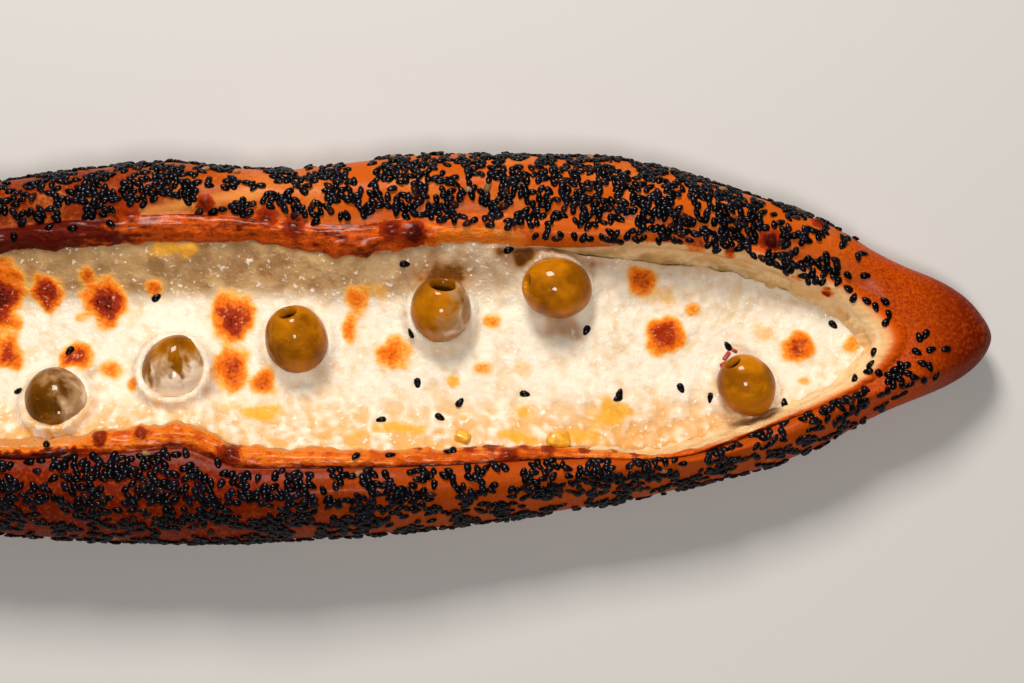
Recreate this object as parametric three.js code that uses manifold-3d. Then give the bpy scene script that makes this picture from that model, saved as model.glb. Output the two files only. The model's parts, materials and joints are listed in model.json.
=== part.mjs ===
// A Turkish pide: a boat of baked dough with a thick rolled rim covered in black sesame seeds,
// filled with melted cheese and set with pitted green olives. Millimetres, +Z up, X along the boat,
// origin under its middle on the surface that it rests on.
import * as THREE from "three";
import { ParametricGeometry } from "three/addons/geometries/ParametricGeometry.js";
import { ConvexGeometry } from "three/addons/geometries/ConvexGeometry.js";
import { mergeVertices } from "three/addons/utils/BufferGeometryUtils.js";
import Module from "manifold-3d";

const wasm = await Module();
wasm.setup();

// Driving dimensions
const HALF_LENGTH = 222;
const HALF_WIDTH = 61.3;
const OPENING_HALF_LENGTH = 185;
const OPENING_HALF_WIDTH = 33.6;
const OPENING_SHIFT = -3.2; // the opening lies a little towards the front
const OPENING_TURN = 1.9; // and its right end a little towards the back
const RIM_HEIGHT = 36;
const NOSE_HEIGHT = 25;
const NOSE_START = 125; // from here on the rim gets lower towards the noses
const FRONT_DROP = 7; // how much lower the front rim is on its right half
const FRONT_DROP_REACH = 110; // and how far along that half it takes to get there
// The underside and the flank curl up off the surface at both ends, up to this share of the rim's height.
const NOSE_CURL = { lift: 3, start: 150, reach: 60, upTo: 0.9 };
const FLOOR_SHARE = 0.26; // height of the floor under the filling, as a share of the rim's
const CHEESE_SHARE = 0.61; // height of the filling along its spine, as a share of the rim's
const SPINE_REACH = 0.86; // how far the filling's spine reaches towards the ends of the opening
const CLEARANCE = 0.45; // left between two pieces that touch
const EDGE_CLEARANCE = 0.54; // and between the filling's edge and the crust
const UNDER_CLEARANCE = 0.75; // and under the filling
const AROUND = 96; // facets round the boat

// How each outline narrows towards its ends: half width times (1 - share of the length ^ blunt) ^ pointed
const TAPER = {
  crust: { blunt: 1.95, pointed: 0.58 },
  openingRight: { blunt: 4.3, pointed: 0.62 },
  openingLeft: { blunt: 2.15, pointed: 0.51 },
};
// The boat sways a little from straight, as dough shaped by hand does.
const SWAY = { reach: 4.1, length: 92 };
// Places where an outline swells or gives way: side 1 is the back and -1 the front, out is away from the middle.
const RIM_SWELLS = [
  { side: 1, at: 108, reach: 28, out: 3.2 },
  { side: 1, at: 2, reach: 28, out: -5.8 },
  { side: 1, at: 192, reach: 18, out: -7.9 }, // the right nose is pinched
  { side: -1, at: 194, reach: 24, out: -10.5 },
];
const OPENING_SWELLS = [
  { side: 1, at: 22, reach: 22, out: -5.6 }, // the back lip sags over the filling
  { side: 1, at: 88, reach: 32, out: -2.6 },
  { side: -1, at: 30, reach: 36, out: 1.3 },
  { side: -1, at: 118, reach: 22, out: 5.7 },
];
// A fold of the front lip that has run in over the filling: it rises slowly and ends steeply.
const LIP_FOLD = { start: -72, full: -28, edge: -24, end: -10, reach: 8 };

// Courses of the crust, from under the spine out, up over the rim and down into the opening.
// across: 0 is the outer edge, 1 the opening's edge and 2 the spine. inset: millimetres further
// towards the spine. lift: height as a share of the rim's.
const CRUST_COURSES = [
  { across: 2, inset: 0, lift: 0 },
  { across: 0, inset: 7, lift: 0 },
  { across: 0, inset: 2.2, lift: 0.13 },
  { across: 0, inset: 0, lift: 0.4 },
  { across: 0.02, inset: 0.8, lift: 0.64 },
  { across: 0.13, inset: 1.4, lift: 0.84 },
  { across: 0.32, inset: 1.2, lift: 0.96 },
  { across: 0.55, inset: 0, lift: 1 },
  { across: 0.76, inset: 0, lift: 0.965 }, // crease behind the lip
  { across: 0.87, inset: 0, lift: 0.985 }, // top of the lip
  { across: 1, inset: 0, lift: 0.92 },
  { across: 1, inset: 1.5, lift: 0.82 },
  { across: 1, inset: 4, lift: 0.62 },
  { across: 1, inset: 7, lift: 0.42 },
  { across: 1, inset: 9, lift: FLOOR_SHARE },
  { across: 2, inset: 0, lift: FLOOR_SHARE },
];
const LAST_FLANK_COURSE = 6; // the underside and the outer flank end here
const SEEDED_COURSES = [2.25, 7.65]; // the seeds lie between these two

// Olives: middle, size, the way that the pit's hole points, its radius, and how far the other end is drawn out.
const OLIVE_LENGTH = 23;
const OLIVE_WIDTH = 19.5;
const OLIVE_NARROWING = 0.06; // how much slimmer the closed half is
const DRAWN_NARROWING = 0.24; // and how much more so where it is drawn out to a point
const PIT_HOLE_DEPTH = 6;
const PIT_HOLE_TAPER = 0.85; // radius at the bottom of the hole, as a share of its mouth's
const OLIVE_ROWS = 7;
const OLIVE_SIDES = 14;
const OLIVES = [
  { at: [-138, -8, 22.5], size: 0.95, hole: [-0.3, 0.4, 0.9], radius: 2.8, drawn: 0 },
  { at: [-102, 7, 24.5], size: 1.02, hole: [0.7, 0.5, 0.5], radius: 3, drawn: 0 },
  { at: [-66.5, -20.8, 25.5], size: 1, hole: [-0.3, 0.75, -0.5], radius: 2.8, drawn: 0 },
  { at: [-31.5, -11, 22.5], size: 1.06, hole: [-0.25, -0.8, -0.55], radius: 2.8, drawn: 0 },
  { at: [6, -1.5, 25.5], size: 1, hole: [-0.22, 0.64, 0.74], radius: 3, drawn: 0 },
  { at: [50, 7.5, 25.5], size: 0.98, hole: [0.1, 0.74, 0.66], radius: 3.8, drawn: 2.4 },
  { at: [86, 14.8, 26.5], size: 0.98, hole: [-0.9, 0.05, 0.36], radius: 3, drawn: 0 },
  { at: [143.8, -15.3, 24], size: 0.9, hole: [-0.5, 0.6, 0.6], radius: 2.8, drawn: 0 },
];

// Seeds
const SEED_LENGTH = 3.2;
const SEED_WIDTH = 2;
const SEED_THICKNESS = 1.1;
const SEED_SUNK = 0.35; // share of its thickness that a seed is pressed in
const CRUST_SEEDS = 190;
const MOST_TRIES = 3800; // places tried for them
const SEED_SPACING = 5.5; // least distance between two seeds on the crust
const LOWEST_SEED = 4; // height above the surface that the bread rests on
const BARE_TIP_LENGTH = 22; // the noses carry hardly any seeds
// Steps that spread points evenly over a square, the powers of the plastic ratio, and evenly round a circle
const PLASTIC_RATIO = 1.324717957;
const GOLDEN_ANGLE = Math.PI * (3 - Math.sqrt(5));
// Loose seeds on the filling: x, y and the way they point in degrees
const CHEESE_SEEDS = [
  [40, -20, 30],
  [56, -15, 85],
  [35, 21.5, 15],
  [96.5, 5, 70],
  [127, -11, 20],
  [-95, -16, 50],
  [-120, 10, 130],
];

// Small cubes of yellow cheese, half sunk in the filling: x, y, turn in degrees and size
const CUBE_DEPTH = 0.8; // depth and height, as a share of the length
const CUBE_RISE = 0.05; // how far the middle lies above the filling, as a share of the length
const YELLOW_CUBES = [
  [86, -27, 10, 5.5],
  [102, -21, 35, 5],
  [56, -28, -20, 4.5],
  [-88, -24, 15, 5],
];

const smooth = (t) => THREE.MathUtils.smoothstep(t, 0, 1);
const clamp = (t) => THREE.MathUtils.clamp(t, 0, 1);

function swellAt(swells, x, side) {
  return swells
    .filter((swell) => swell.side === side)
    .reduce((sum, swell) => sum + swell.out * Math.exp(-(((x - swell.at) / swell.reach) ** 2)), 0);
}

function taperAt(share, { blunt, pointed }) {
  return (1 - Math.min(1, Math.abs(share)) ** blunt) ** pointed;
}

// The crust's outer edge, from the right tip round by the back.
function outerEdge(angle) {
  const x = HALF_LENGTH * Math.cos(angle);
  const side = Math.sin(angle) < 0 ? -1 : 1;
  const width = (HALF_WIDTH + swellAt(RIM_SWELLS, x, side)) * taperAt(Math.cos(angle), TAPER.crust);
  return new THREE.Vector3(x, SWAY.reach * Math.sin(x / SWAY.length) + side * width, 0);
}

// The edge of the opening, in step with the outer edge.
function openingEdge(angle) {
  const share = Math.cos(angle);
  const x = OPENING_HALF_LENGTH * share;
  const side = Math.sin(angle) < 0 ? -1 : 1;
  const taper = share > 0 ? TAPER.openingRight : TAPER.openingLeft;
  let width = OPENING_HALF_WIDTH + swellAt(OPENING_SWELLS, x, side);
  if (side < 0) {
    const rising = clamp((x - LIP_FOLD.start) / (LIP_FOLD.full - LIP_FOLD.start));
    const ending = clamp((LIP_FOLD.end - x) / (LIP_FOLD.end - LIP_FOLD.edge));
    width -= LIP_FOLD.reach * rising * ending;
  }
  return new THREE.Vector3(x, OPENING_SHIFT + OPENING_TURN * share + side * width * taperAt(share, taper), 0);
}

function rimHeight(angle) {
  const x = HALF_LENGTH * Math.cos(angle);
  const towardsNose = smooth((Math.abs(x) - NOSE_START) / (HALF_LENGTH - NOSE_START));
  const front = smooth(-2 * Math.sin(angle)) * smooth(x / FRONT_DROP_REACH);
  return THREE.MathUtils.lerp(RIM_HEIGHT - FRONT_DROP * front, NOSE_HEIGHT, towardsNose);
}

// The rib at u, from 0 to 1 round the boat, with its point on the spine of the filling.
function ribAt(u) {
  const angle = 2 * Math.PI * u;
  const opening = openingEdge(angle);
  const spine = opening.clone().add(openingEdge(-angle)).multiplyScalar(0.5);
  spine.x *= SPINE_REACH;
  const height = rimHeight(angle);
  return {
    outer: outerEdge(angle),
    opening,
    spine,
    height,
    spineHeight: (height + rimHeight(-angle)) / 2,
  };
}

// Slow unevenness that baking leaves in dough and cheese, about one millimetre either way.
function unevenness(x, y) {
  return 0.45 * Math.sin(x / 11 + 0.8) + 0.35 * Math.sin(x / 6.3 + y / 9) + 0.2 * Math.cos(y / 5 - x / 17);
}

// The point of a rib that lies across it as a course says.
function pointAcross(rib, across, inset, lift, target) {
  if (across <= 1) target.lerpVectors(rib.outer, rib.opening, across);
  else target.lerpVectors(rib.opening, rib.spine, across - 1);
  if (inset > 0) target.addScaledVector(rib.spine.clone().sub(target).normalize(), inset);
  const height = THREE.MathUtils.lerp(rib.height, rib.spineHeight, Math.max(0, across - 1));
  target.z = lift * height;
  return target;
}

// Skin of the crust. A course that v falls on is met exactly, because the geometry has one stack for each.
function crustSkin(u, v, target) {
  const rib = ribAt(u);
  const along = v * (CRUST_COURSES.length - 1);
  const first = Math.min(Math.floor(along), CRUST_COURSES.length - 2);
  const [from, to] = [CRUST_COURSES[first], CRUST_COURSES[first + 1]];
  const part = along - first;
  const mix = (name) => THREE.MathUtils.lerp(from[name], to[name], part);
  pointAcross(rib, mix("across"), mix("inset"), mix("lift"), target);
  const share = mix("lift");
  if (along > LAST_FLANK_COURSE) return;
  const curl = smooth((Math.abs(target.x) - NOSE_CURL.start) / NOSE_CURL.reach);
  target.z += NOSE_CURL.lift * curl * Math.max(0, 1 - share / NOSE_CURL.upTo);
  target.y += Math.sin(Math.PI * share) * unevenness(target.x, target.z);
}

// The filling's edge: it climbs up to the lip, but lies lower towards the right end, where the wall shows.
const CLIMBING_EDGE = { inset: 0.9, lift: 0.855 };
const LOW_EDGE = { inset: 4.2, lift: 0.605 };
const LOW_FROM = { start: 70, reach: 50 };
const SINKING = 1.8; // the top has sunk to the spine's height at 1 / SINKING of the way in
const LUMPS = { x: 1.4, y: 1.6 }; // the filling's lumps are this much closer together than the dough's

// Courses of the filling: its flat underside, its side along the crust, and its top.
const CHEESE_SIDE = [
  { across: 2, inset: 0, lift: FLOOR_SHARE },
  { across: 1, inset: 9, lift: FLOOR_SHARE },
  { across: 1, inset: 7, lift: 0.42 },
  { across: 1, inset: 5.2, lift: 0.54 },
];
const CHEESE_TOP = [0, 0.2, 0.42, 0.68, 1]; // from the filling's edge to its spine
const CHEESE_STACKS = CHEESE_SIDE.length + CHEESE_TOP.length - 1;

function cheeseSkin(u, v, target) {
  const rib = ribAt(u);
  const course = Math.round(v * CHEESE_STACKS);
  if (course < CHEESE_SIDE.length) {
    const { across, inset, lift } = CHEESE_SIDE[course];
    pointAcross(rib, across, inset + (across < 2 ? CLEARANCE : 0), lift, target);
    if (lift === FLOOR_SHARE) target.z += UNDER_CLEARANCE;
    return;
  }
  const low = smooth((rib.opening.x - LOW_FROM.start) / LOW_FROM.reach);
  const edge = (name) => THREE.MathUtils.lerp(CLIMBING_EDGE[name], LOW_EDGE[name], low);
  const towards = CHEESE_TOP[course - CHEESE_SIDE.length];
  pointAcross(rib, 1, edge("inset") + EDGE_CLEARANCE, edge("lift"), target);
  const edgeHeight = target.z;
  target.lerp(rib.spine, towards);
  const lumps = towards * unevenness(target.x * LUMPS.x, target.y * LUMPS.y);
  const sink = smooth(towards * SINKING);
  target.z = THREE.MathUtils.lerp(edgeHeight, CHEESE_SHARE * rib.spineHeight, sink) + lumps;
}

// The solid that a closed geometry bounds, moved by a matrix.
function solidOf(geometry, matrix = new THREE.Matrix4()) {
  const bare = geometry.clone().applyMatrix4(matrix);
  bare.deleteAttribute("normal");
  bare.deleteAttribute("uv");
  const merged = mergeVertices(bare, 1e-4);
  return new wasm.Manifold(new wasm.Mesh({
    numProp: 3,
    vertProperties: merged.attributes.position.array,
    triVerts: new Uint32Array(merged.index.array),
  }));
}

function geometryOf(solid) {
  const mesh = solid.getMesh();
  const geometry = new THREE.BufferGeometry();
  geometry.setAttribute("position", new THREE.BufferAttribute(mesh.vertProperties, 3));
  geometry.setIndex(new THREE.BufferAttribute(mesh.triVerts, 1));
  geometry.computeVertexNormals();
  return geometry;
}

// The point and outward direction of a skin's flat facet under (u, v).
function facetAt(skin, u, v) {
  const { slices, stacks } = skin.parameters;
  const column = Math.min(Math.floor(u * slices), slices - 1);
  const row = Math.min(Math.floor(v * stacks), stacks - 1);
  const [across, up] = [u * slices - column, v * stacks - row];
  const corner = (i, j) =>
    new THREE.Vector3().fromBufferAttribute(skin.attributes.position, (row + j) * (slices + 1) + column + i);
  const near = across + up <= 1;
  const start = near ? corner(0, 0) : corner(1, 1);
  const alongU = near ? corner(1, 0).sub(start) : corner(0, 1).sub(start);
  const alongV = near ? corner(0, 1).sub(start) : corner(1, 0).sub(start);
  const out = new THREE.Vector3().crossVectors(alongU, alongV).normalize();
  const point = start.clone()
    .addScaledVector(alongU, near ? across : 1 - across)
    .addScaledVector(alongV, near ? up : 1 - up);
  return { point, out };
}

// One sesame seed: the hull of a drop's outline, pointed towards +X, and of the ridge on top of it.
const seedGeometry = new ConvexGeometry([
  [0.5, 0, 0], [0.12, 0.4, 0], [-0.3, 0.46, 0], [-0.5, 0, 0], [-0.3, -0.46, 0], [0.12, -0.4, 0],
  [0.2, 0, 1], [-0.28, 0, 1],
].map(([x, y, z]) => new THREE.Vector3(x * SEED_LENGTH, y * SEED_WIDTH, (z - SEED_SUNK) * SEED_THICKNESS)));

// A seed that lies on a point, pressed a little way in, turned about the outward direction.
function seedOn(point, out, turn) {
  const lying = new THREE.Quaternion().setFromUnitVectors(new THREE.Vector3(0, 0, 1), out);
  lying.multiply(new THREE.Quaternion().setFromAxisAngle(new THREE.Vector3(0, 0, 1), turn));
  return solidOf(seedGeometry, new THREE.Matrix4().compose(point, lying, new THREE.Vector3(1, 1, 1)));
}

// Spreads seeds evenly over the crust, and skips those that would touch.
function crustSeeds(skin) {
  const seeds = [];
  const places = [];
  const [low, high] = SEEDED_COURSES.map((course) => course / (CRUST_COURSES.length - 1));
  for (let i = 0; seeds.length < CRUST_SEEDS && i < MOST_TRIES; i += 1) {
    const u = (0.5 + i / PLASTIC_RATIO) % 1;
    const v = low + (high - low) * ((0.3 + i / PLASTIC_RATIO ** 2) % 1);
    const { point, out } = facetAt(skin, u, v);
    const onNose = Math.abs(point.x) > HALF_LENGTH - BARE_TIP_LENGTH;
    const tooNear = places.some((place) => place.distanceTo(point) < SEED_SPACING);
    if (onNose || tooNear || point.z < LOWEST_SEED) continue;
    places.push(point);
    seeds.push(seedOn(point, out, i * GOLDEN_ANGLE));
  }
  return seeds;
}

// The crust: floor, rolled rim and noses in one piece of dough, with its seeds baked on.
function makeCrust() {
  const skin = new ParametricGeometry(crustSkin, AROUND, CRUST_COURSES.length - 1);
  const dough = solidOf(skin);
  return crustSeeds(skin).reduce((whole, seed) => whole.add(seed), dough);
}

// An olive about local Y, from its closed end up to the ring of the pit's hole, then down into it.
// Its bed in the filling has the same outline, closed flat across the ring.
function oliveShape({ radius, drawn }, holed) {
  const half = OLIVE_LENGTH / 2;
  const slimmer = OLIVE_NARROWING + (drawn > 0 ? DRAWN_NARROWING : 0);
  const points = [new THREE.Vector2(0, -half - drawn)];
  const ring = Math.acos(radius / (OLIVE_WIDTH / 2));
  for (let i = 1; i <= OLIVE_ROWS; i += 1) {
    const angle = THREE.MathUtils.lerp(-Math.PI / 2, ring, i / OLIVE_ROWS);
    const narrow = 1 - slimmer * Math.max(0, -Math.sin(angle));
    points.push(new THREE.Vector2((OLIVE_WIDTH / 2) * Math.cos(angle) * narrow, half * Math.sin(angle)));
  }
  if (holed) points.push(new THREE.Vector2(radius * PIT_HOLE_TAPER, half - PIT_HOLE_DEPTH));
  points.push(new THREE.Vector2(0, holed ? half - PIT_HOLE_DEPTH : half * Math.sin(ring)));
  return new THREE.LatheGeometry(points, OLIVE_SIDES);
}

function oliveTurn({ hole }) {
  const towards = new THREE.Vector3(...hole).normalize();
  return new THREE.Quaternion().setFromUnitVectors(new THREE.Vector3(0, 1, 0), towards);
}

function cubeOn(skinHeight, [x, y, degrees, size]) {
  const matrix = new THREE.Matrix4()
    .makeRotationZ(THREE.MathUtils.degToRad(degrees))
    .setPosition(x, y, skinHeight + size * CUBE_RISE);
  return solidOf(new THREE.BoxGeometry(size, size * CUBE_DEPTH, size * CUBE_DEPTH), matrix);
}

// Height of the filling's facets above (x, y), found by a ray from above.
function heightFinder(skin) {
  const target = new THREE.Mesh(skin, new THREE.MeshBasicMaterial({ side: THREE.DoubleSide }));
  const ray = new THREE.Raycaster();
  return (x, y) => {
    ray.set(new THREE.Vector3(x, y, 100), new THREE.Vector3(0, 0, -1));
    const [hit] = ray.intersectObject(target);
    return { point: hit.point, out: hit.face.normal.clone() };
  };
}

// The filling: melted cheese from the floor to its lumpy top, hollowed where the olives sit in it.
function makeCheese() {
  const skin = new ParametricGeometry(cheeseSkin, AROUND, CHEESE_STACKS);
  const topAt = heightFinder(skin);
  let cheese = solidOf(skin);
  for (const [x, y, degrees] of CHEESE_SEEDS) {
    const { point, out } = topAt(x, y);
    cheese = cheese.add(seedOn(point, out, THREE.MathUtils.degToRad(degrees)));
  }
  for (const cube of YELLOW_CUBES) cheese = cheese.add(cubeOn(topAt(cube[0], cube[1]).point.z, cube));
  for (const olive of OLIVES) {
    const room = olive.size * (1 + CLEARANCE / (OLIVE_WIDTH / 2));
    const place = new THREE.Matrix4().compose(
      new THREE.Vector3(...olive.at), oliveTurn(olive), new THREE.Vector3(room, room, room));
    cheese = cheese.subtract(solidOf(oliveShape(olive, false), place));
  }
  return cheese;
}

function finish(color, roughness) {
  return new THREE.MeshStandardMaterial({ color, roughness, metalness: 0 });
}

const pide = new THREE.Group();
pide.name = "turkish_pide";

const crust = new THREE.Mesh(geometryOf(makeCrust()), finish(0xc26a24, 0.5));
crust.name = "crust";
const cheese = new THREE.Mesh(geometryOf(makeCheese()), finish(0xf2e3c4, 0.35));
cheese.name = "cheese_filling";
pide.add(crust, cheese);

const oliveFinish = finish(0x8c7426, 0.25);
OLIVES.forEach((olive, i) => {
  const mesh = new THREE.Mesh(oliveShape(olive, true), oliveFinish);
  mesh.name = `olive_${i + 1}`;
  mesh.position.set(...olive.at);
  mesh.quaternion.copy(oliveTurn(olive));
  mesh.scale.setScalar(olive.size);
  pide.add(mesh);
});

export default pide;
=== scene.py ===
# %% [markdown]
# # A Turkish pide
# A pide is a boat of bread dough. Its rim is rolled up and pinched into a nose at each end, rolled in
# black sesame seeds and baked with a filling of melted cheese and pitted green olives. This lesson
# dresses a plain solid model of it: dough with a torn, glossy lip, thousands of seeds, lumpy cheese with
# browned blisters, and wet olives. The solids come first, because they fix every size and place.

# %% Load the solids
import json
import math
from functools import lru_cache

import bmesh
import bpy
import numpy as np
from mathutils import Matrix, Vector, noise

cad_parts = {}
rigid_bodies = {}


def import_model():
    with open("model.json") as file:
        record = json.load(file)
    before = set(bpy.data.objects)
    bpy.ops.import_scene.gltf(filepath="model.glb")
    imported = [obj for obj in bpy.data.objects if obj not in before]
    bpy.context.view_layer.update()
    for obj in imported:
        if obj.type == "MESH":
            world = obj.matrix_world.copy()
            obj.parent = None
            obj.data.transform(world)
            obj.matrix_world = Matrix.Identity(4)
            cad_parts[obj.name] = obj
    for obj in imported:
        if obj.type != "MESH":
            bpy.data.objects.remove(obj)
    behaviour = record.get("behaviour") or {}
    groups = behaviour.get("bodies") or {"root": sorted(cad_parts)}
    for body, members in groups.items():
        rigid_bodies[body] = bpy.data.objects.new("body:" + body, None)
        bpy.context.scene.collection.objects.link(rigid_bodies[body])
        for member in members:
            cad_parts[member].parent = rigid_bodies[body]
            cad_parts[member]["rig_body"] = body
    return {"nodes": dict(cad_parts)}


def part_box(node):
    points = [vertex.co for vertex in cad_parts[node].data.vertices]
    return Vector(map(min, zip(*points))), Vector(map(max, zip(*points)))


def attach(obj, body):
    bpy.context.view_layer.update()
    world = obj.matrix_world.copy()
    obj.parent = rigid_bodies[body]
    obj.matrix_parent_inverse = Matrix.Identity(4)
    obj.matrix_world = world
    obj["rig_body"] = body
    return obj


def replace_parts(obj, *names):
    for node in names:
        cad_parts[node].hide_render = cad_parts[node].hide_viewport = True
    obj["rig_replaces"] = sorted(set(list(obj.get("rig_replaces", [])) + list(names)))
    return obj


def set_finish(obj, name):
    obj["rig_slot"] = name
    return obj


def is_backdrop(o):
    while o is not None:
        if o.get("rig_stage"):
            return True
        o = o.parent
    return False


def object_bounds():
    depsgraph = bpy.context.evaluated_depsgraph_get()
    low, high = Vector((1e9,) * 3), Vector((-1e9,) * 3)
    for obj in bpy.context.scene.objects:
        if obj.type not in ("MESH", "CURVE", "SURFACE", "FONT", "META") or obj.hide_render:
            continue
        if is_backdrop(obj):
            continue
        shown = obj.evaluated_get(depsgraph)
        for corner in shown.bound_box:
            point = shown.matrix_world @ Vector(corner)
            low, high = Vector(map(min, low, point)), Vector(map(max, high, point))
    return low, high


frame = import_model()
cad_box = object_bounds()
mm = 0.001
crust_low, crust_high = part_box("crust")
HALF_LENGTH = (crust_high[0] - crust_low[0]) / 2
print("solids:", sorted(frame["nodes"]), "half length", round(HALF_LENGTH / mm, 1), "mm")

# %% [markdown]
# ## Camera
# The bread is seen from steeply above its front side, close by. The camera stands on a line that
# leans back from the vertical, and looks at a point right of the middle, so that the left end of the
# boat runs out of the picture. A camera can be aimed by a constraint or by an angle: here one angle is
# enough, because it only leans forwards.

# %% Place the camera
CAMERA_ELEVATION = math.radians(76)
CAMERA_DISTANCE = 712.7 * mm
CAMERA_LENS = 80.9  # for Blender's sensor, 36 mm wide
LOOK_AT = Vector((72 * mm, 0, 18 * mm))

back_and_up = Vector((0, -math.cos(CAMERA_ELEVATION), math.sin(CAMERA_ELEVATION)))
bpy.ops.object.camera_add(
    location=LOOK_AT + CAMERA_DISTANCE * back_and_up,
    rotation=(math.pi / 2 - CAMERA_ELEVATION, 0, 0),
)
camera = bpy.context.object
camera.data.lens = CAMERA_LENS
bpy.context.scene.camera = camera
print("camera at", [round(c, 3) for c in camera.location])

# %% [markdown]
# ## Floor and light
# A plain pale floor and soft lamps let the food's own colours show. The largest lamp stands behind the
# bread, so the back rim throws a soft shade on the filling and the front rim turns dark, as in the
# photograph. A small lamp in front gives the wet spots on the olives. The plain view transform keeps the
# strong oranges of baked dough, which the default one would wash out.

# %% Set up the studio
FLOOR_GREY = (0.56, 0.55, 0.54, 1)
SKY_WARM = (1.0, 0.97, 0.95, 1)
SKY_STRENGTH = 0.1

bpy.ops.mesh.primitive_plane_add(size=4)
floor = bpy.context.object
floor.name = "floor"
floor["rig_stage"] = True
floor_paint = bpy.data.materials.new("pale_floor")
floor_paint.use_nodes = True
floor_shader = floor_paint.node_tree.nodes["Principled BSDF"]
floor_shader.inputs["Base Color"].default_value = FLOOR_GREY
floor_shader.inputs["Roughness"].default_value = 0.8
floor.data.materials.append(floor_paint)

bpy.context.scene.view_settings.view_transform = "Standard"
world = bpy.data.worlds.new("studio")
world.use_nodes = True
sky = world.node_tree.nodes["Background"]
sky.inputs["Color"].default_value = SKY_WARM
sky.inputs["Strength"].default_value = SKY_STRENGTH
bpy.context.scene.world = world


def add_lamp(name, place, size, watts, color):
    """A square lamp that points where the camera looks."""
    bpy.ops.object.light_add(type="AREA", location=place)
    lamp = bpy.context.object
    lamp.name = name
    lamp.data.size = size
    lamp.data.energy = watts
    lamp.data.color = color
    lamp.rotation_euler = (LOOK_AT - lamp.location).to_track_quat("-Z", "Y").to_euler()


add_lamp("back_lamp", (-0.1, 0.74, 0.84), 0.34, 12.6, (1.0, 0.95, 0.88))
add_lamp("front_lamp", (0.1, -0.5, 1.15), 0.24, 7, (1.0, 0.95, 0.9))

# %% [markdown]
# ## The outline of the boat
# Seen from above, the bread is a long lens with blunt noses, and the opening is a slimmer lens inside
# it. Two formulas give them: half width times (1 - share of the length ^ blunt) ^ pointed. A few swells
# and one fold of the front lip make it uneven, as hands did. They are the same formulas that the solids
# were made from, so the dressed bread lies where the plain one does.

# %% Write the outlines as formulas
HALF_WIDTH = 61.3 * mm
OPENING_HALF_LENGTH = 185 * mm
OPENING_HALF_WIDTH = 33.6 * mm
OPENING_SHIFT = -3.2 * mm
OPENING_TURN = 1.9 * mm
RIM_HEIGHT = 36 * mm
NOSE_HEIGHT = 25 * mm
NOSE_SLOPE_START = 125 * mm
FRONT_DROP = 7 * mm
FRONT_DROP_FULL = 110 * mm
NOSE_LIFT = 3 * mm
SPINE_REACH = 0.86
FLOOR_SHARE = 0.26
CHEESE_SHARE = 0.61

CRUST_TAPER = {"blunt": 1.95, "pointed": 0.58}
RIGHT_OPENING_TAPER = {"blunt": 4.3, "pointed": 0.62}
LEFT_OPENING_TAPER = {"blunt": 2.15, "pointed": 0.51}
SWAY = {"reach": 4.1 * mm, "length": 92 * mm}
# Side 1 is the back and -1 the front: (side, place along the boat, reach along it, how far out)
RIM_SWELLS = [
    (1, 108 * mm, 28 * mm, 3.2 * mm),
    (1, 2 * mm, 28 * mm, -5.8 * mm),
    (1, 192 * mm, 18 * mm, -7.9 * mm),
    (-1, 194 * mm, 24 * mm, -10.5 * mm),
]
OPENING_SWELLS = [
    (1, 22 * mm, 22 * mm, -5.6 * mm),
    (1, 88 * mm, 32 * mm, -2.6 * mm),
    (-1, 30 * mm, 36 * mm, 1.3 * mm),
    (-1, 118 * mm, 22 * mm, 5.7 * mm),
]
LIP_FOLD = {"start": -72 * mm, "full": -28 * mm, "edge": -24 * mm, "end": -10 * mm, "reach": 8 * mm}


def ramp(value, low, high):
    """0 up to low, 1 from high on, and a smooth rise between them. Takes numbers and arrays."""
    share = np.clip((value - low) / (high - low), 0, 1)
    return share * share * (3 - 2 * share)


def fall(value, low, high):
    """1 up to low, 0 from high on, and a smooth fall between them."""
    return 1 - ramp(value, low, high)


def middle_line(x):
    """How far back the middle of the opening lies, at a place along the boat."""
    return OPENING_SHIFT + OPENING_TURN * x / OPENING_HALF_LENGTH


def swell_at(swells, side, x):
    """How far the swells of one side push the edge out at a place along the boat."""
    return sum(out * math.exp(-(((x - at) / reach) ** 2)) for at_side, at, reach, out in swells
               if at_side == side)


def taper_at(share, taper):
    """The width at a share of the half length, as a share of the width at the middle."""
    return (1 - min(1.0, abs(share)) ** taper["blunt"]) ** taper["pointed"]


def outer_edge(turn):
    """The crust's outer edge, from the right tip round by the back."""
    x = HALF_LENGTH * math.cos(turn)
    side = -1 if math.sin(turn) < 0 else 1
    width = (HALF_WIDTH + swell_at(RIM_SWELLS, side, x)) * taper_at(math.cos(turn), CRUST_TAPER)
    return Vector((x, SWAY["reach"] * math.sin(x / SWAY["length"]) + side * width, 0))


def opening_edge(turn):
    """The edge of the opening, in step with the outer edge."""
    share = math.cos(turn)
    x = OPENING_HALF_LENGTH * share
    side = -1 if math.sin(turn) < 0 else 1
    taper = RIGHT_OPENING_TAPER if share > 0 else LEFT_OPENING_TAPER
    width = OPENING_HALF_WIDTH + swell_at(OPENING_SWELLS, side, x)
    if side < 0:
        rising = (x - LIP_FOLD["start"]) / (LIP_FOLD["full"] - LIP_FOLD["start"])
        ending = (LIP_FOLD["end"] - x) / (LIP_FOLD["end"] - LIP_FOLD["edge"])
        width -= LIP_FOLD["reach"] * min(max(rising, 0), 1) * min(max(ending, 0), 1)
    return Vector((x, OPENING_SHIFT + OPENING_TURN * share + side * width * taper_at(share, taper), 0))


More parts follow.
